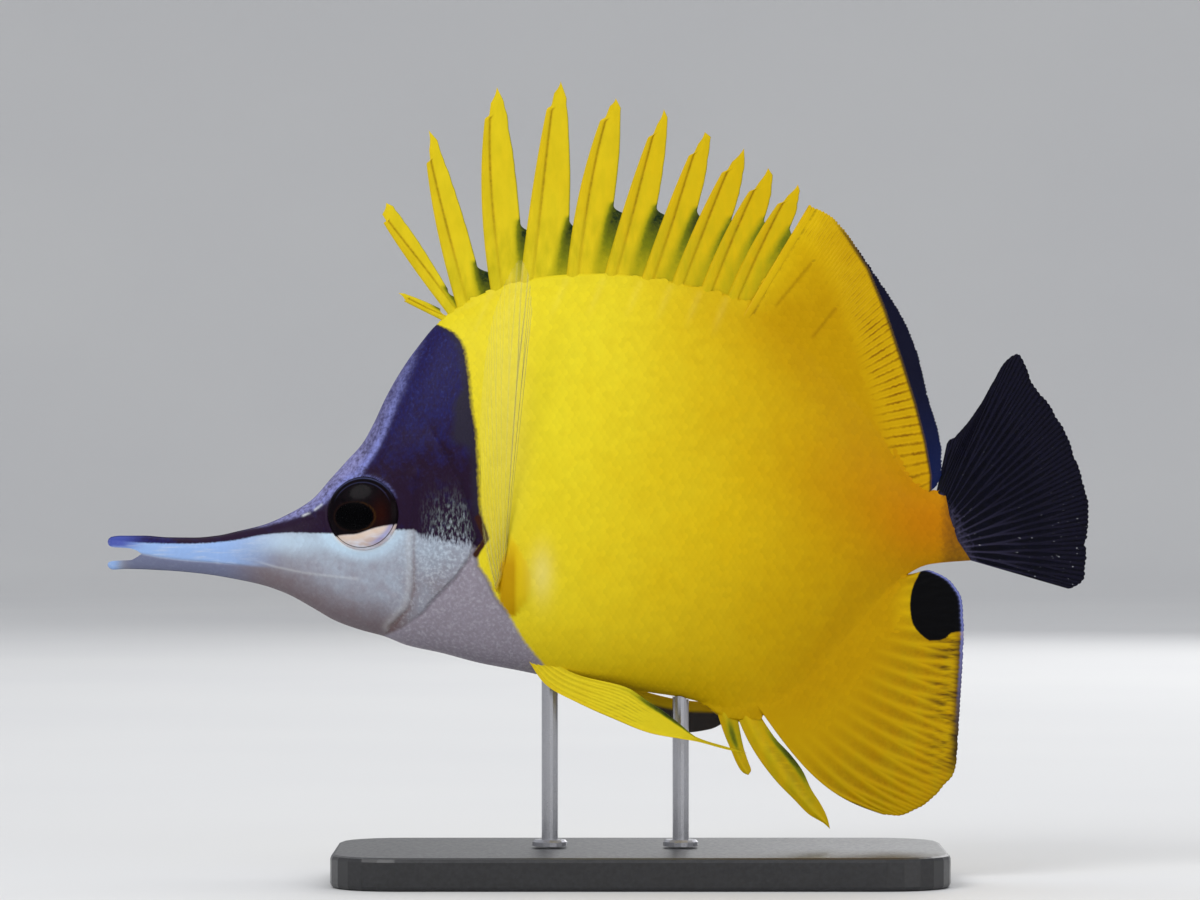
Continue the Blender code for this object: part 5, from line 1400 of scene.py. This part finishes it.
def make_pelvic(side, word, finish):
    """A pelvic fin: a blade of rays that ends in a thin strand; the far one hangs more webbed."""
    near, far = side == LEFT, side == RIGHT
    a, h, across, along = lance(*PELVIC_EDGES[side], 72, 110)
    reach = a - a[0, 0]
    out = PELVIC_OUT + PELVIC_FLARE * np.clip(reach, 0, None)
    ray = branching(across * (PELVIC_RAYS - 1), along, ((0.15, 0.25), (0.4, 0.2)), 0.2)
    lead = hump(across, 0.1 if near else 0.2)
    half = 0.2 + 0.12 * ray * (1 - 0.4 * along) + 0.22 * lead * (1 - 0.6 * along) + 0.4 * np.exp(-reach / 2.5)
    film = smooth((across - 0.25) / 0.15) * smooth((along - 0.25) / 0.2) * far
    fields = no_fields(
        a.shape, ray=ray, fringe=0.3, warm=0.05 + 0.3 * far, gold=0.03 + 0.1 * far,
        film=film, clear=0.12 * film,
        orange=0.15 * lead + 0.05 * far, streak=0.5 * near * hump(along - 0.5, 0.1) * (1 - ray),
        web=smooth((across - 0.8) / 0.15) * hump(along - 0.62, 0.14) * near,
    )
    half *= thinned(along, 0.5, 0.85)
    leaf(f"pelvic_fin_{word}", (a, side * out, h), half, fields, finish, [f"pelvic_{word}"])


def dress_stand(frame):
    """Satin black for the base, fine brushed steel for the rods."""
    base = Finish("stand_black", Coat_Weight=0.2, Coat_Roughness=0.3)
    grain = base.noise(1.4, 3)
    black = base.mix(base.stretch(grain, 0.35, 0.75), JET, SATIN)
    base.set(Base_Color=black, Roughness=base.stretch(grain, 0.3, 0.7, 0.32, 0.46))
    base.bump(grain, 0.03, 0.3)
    rod = Finish("stand_steel", Metallic=1.0)
    brushed = rod.noise(1.5, 3, (1, 1, 14))
    steel = rod.mix(brushed, STEEL, DULL_STEEL)
    rod.set(Base_Color=steel, Roughness=rod.stretch(brushed, 0.3, 0.7, 0.24, 0.4))
    rod.bump(brushed, 0.02, 0.3)
    for name, finish in (("stand_base", base), ("stand_rod_front", rod), ("stand_rod_rear", rod)):
        for held in frame["nodes"][name].material_slots:
            held.material = finish.material


def make_stage():
    """A pale floor that curves up into a wall all round."""
    fillet = WALL_RADIUS - FLOOR_RADIUS
    swing = np.linspace(0, math.pi / 2, 16)
    profile = [(0.3, 0.0), (1.0, 0.0)]
    profile += [(FLOOR_RADIUS + fillet * math.sin(t), fillet * (1 - math.cos(t))) for t in swing]
    profile.append((WALL_RADIUS, WALL_HEIGHT))
    around = 96
    turns = np.arange(around) * 2 * math.pi / around
    points = [(0.0, 0.0, 0.0)]
    for radius, height in profile:
        points += [(radius * math.cos(t), radius * math.sin(t), height) for t in turns]
    faces = [(0, 1 + j, 1 + (j + 1) % around) for j in range(around)]
    for i in range(len(profile) - 1):
        k = 1 + i * around
        for j in range(around):
            ahead = (j + 1) % around
            faces.append((k + j, k + around + j, k + around + ahead, k + ahead))
    mesh = bpy.data.meshes.new("stage")
    mesh.from_pydata(points, [], faces)
    mesh.shade_smooth()
    finish = Finish("stage_pale", Roughness=0.8)
    cloudy = finish.noise(0.004, 2.0)
    finish.set(Base_Color=finish.mix(finish.stretch(cloudy, 0.3, 0.7), STAGE_GREY, CLOUD_GREY))
    mesh.materials.append(finish.material)
    stage = bpy.data.objects.new("stage", mesh)
    bpy.context.scene.collection.objects.link(stage)
    stage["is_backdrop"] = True


def light(name, place, size, power):
    """A soft round lamp that shines at the fish."""
    lamp = bpy.data.lights.new(name, "AREA")
    lamp.shape, lamp.size, lamp.energy = "DISK", size, power
    obj = bpy.data.objects.new(name, lamp)
    obj.location = place
    obj.rotation_euler = (Vector(FISH_MIDDLE) - obj.location).to_track_quat("-Z", "Y").to_euler()
    bpy.context.scene.collection.objects.link(obj)


def light_and_camera():
    for name, row in LAMPS.items():
        light(name, *row)
    world = bpy.data.worlds.new("studio")
    world.use_nodes = True
    sky = world.node_tree.nodes["Background"].inputs
    sky["Color"].default_value, sky["Strength"].default_value = SKY_COLOUR, SKY_STRENGTH
    bpy.context.scene.world = world
    lens = bpy.data.cameras.new("camera")
    lens.lens, lens.sensor_width, lens.clip_start = LENS, SENSOR, 0.01
    camera = bpy.data.objects.new("camera", lens)
    camera.location = CAMERA_AT
    camera.rotation_euler = (math.pi / 2, 0, 0)
    bpy.context.scene.collection.objects.link(camera)
    bpy.context.scene.camera = camera
    bpy.context.scene.view_settings.view_transform = "Standard"


def corners(box):
    return [[float(v) for v in corner] for corner in box]


def main():
    for obj in list(bpy.data.objects):
        bpy.data.objects.remove(obj)
    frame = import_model()
    solid_box = corners(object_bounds())
    make_skin(skin_finish())
    make_scales(scale_finish(), Flank())
    fins, clear, eyes = fin_finish(), clear_finish(), eye_finish()
    make_spines(fins, make_soft_dorsal(fins))
    make_soft_anal(fins)
    make_tail(tail_finish())
    for side, word in SIDES:
        make_eye(side, word, eyes)
        make_pectoral(side, word, clear)
        make_pelvic(side, word, fins)
    dress_stand(frame)
    make_stage()
    light_and_camera()
    {"solids": solid_box, "visual": corners(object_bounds())}


main()
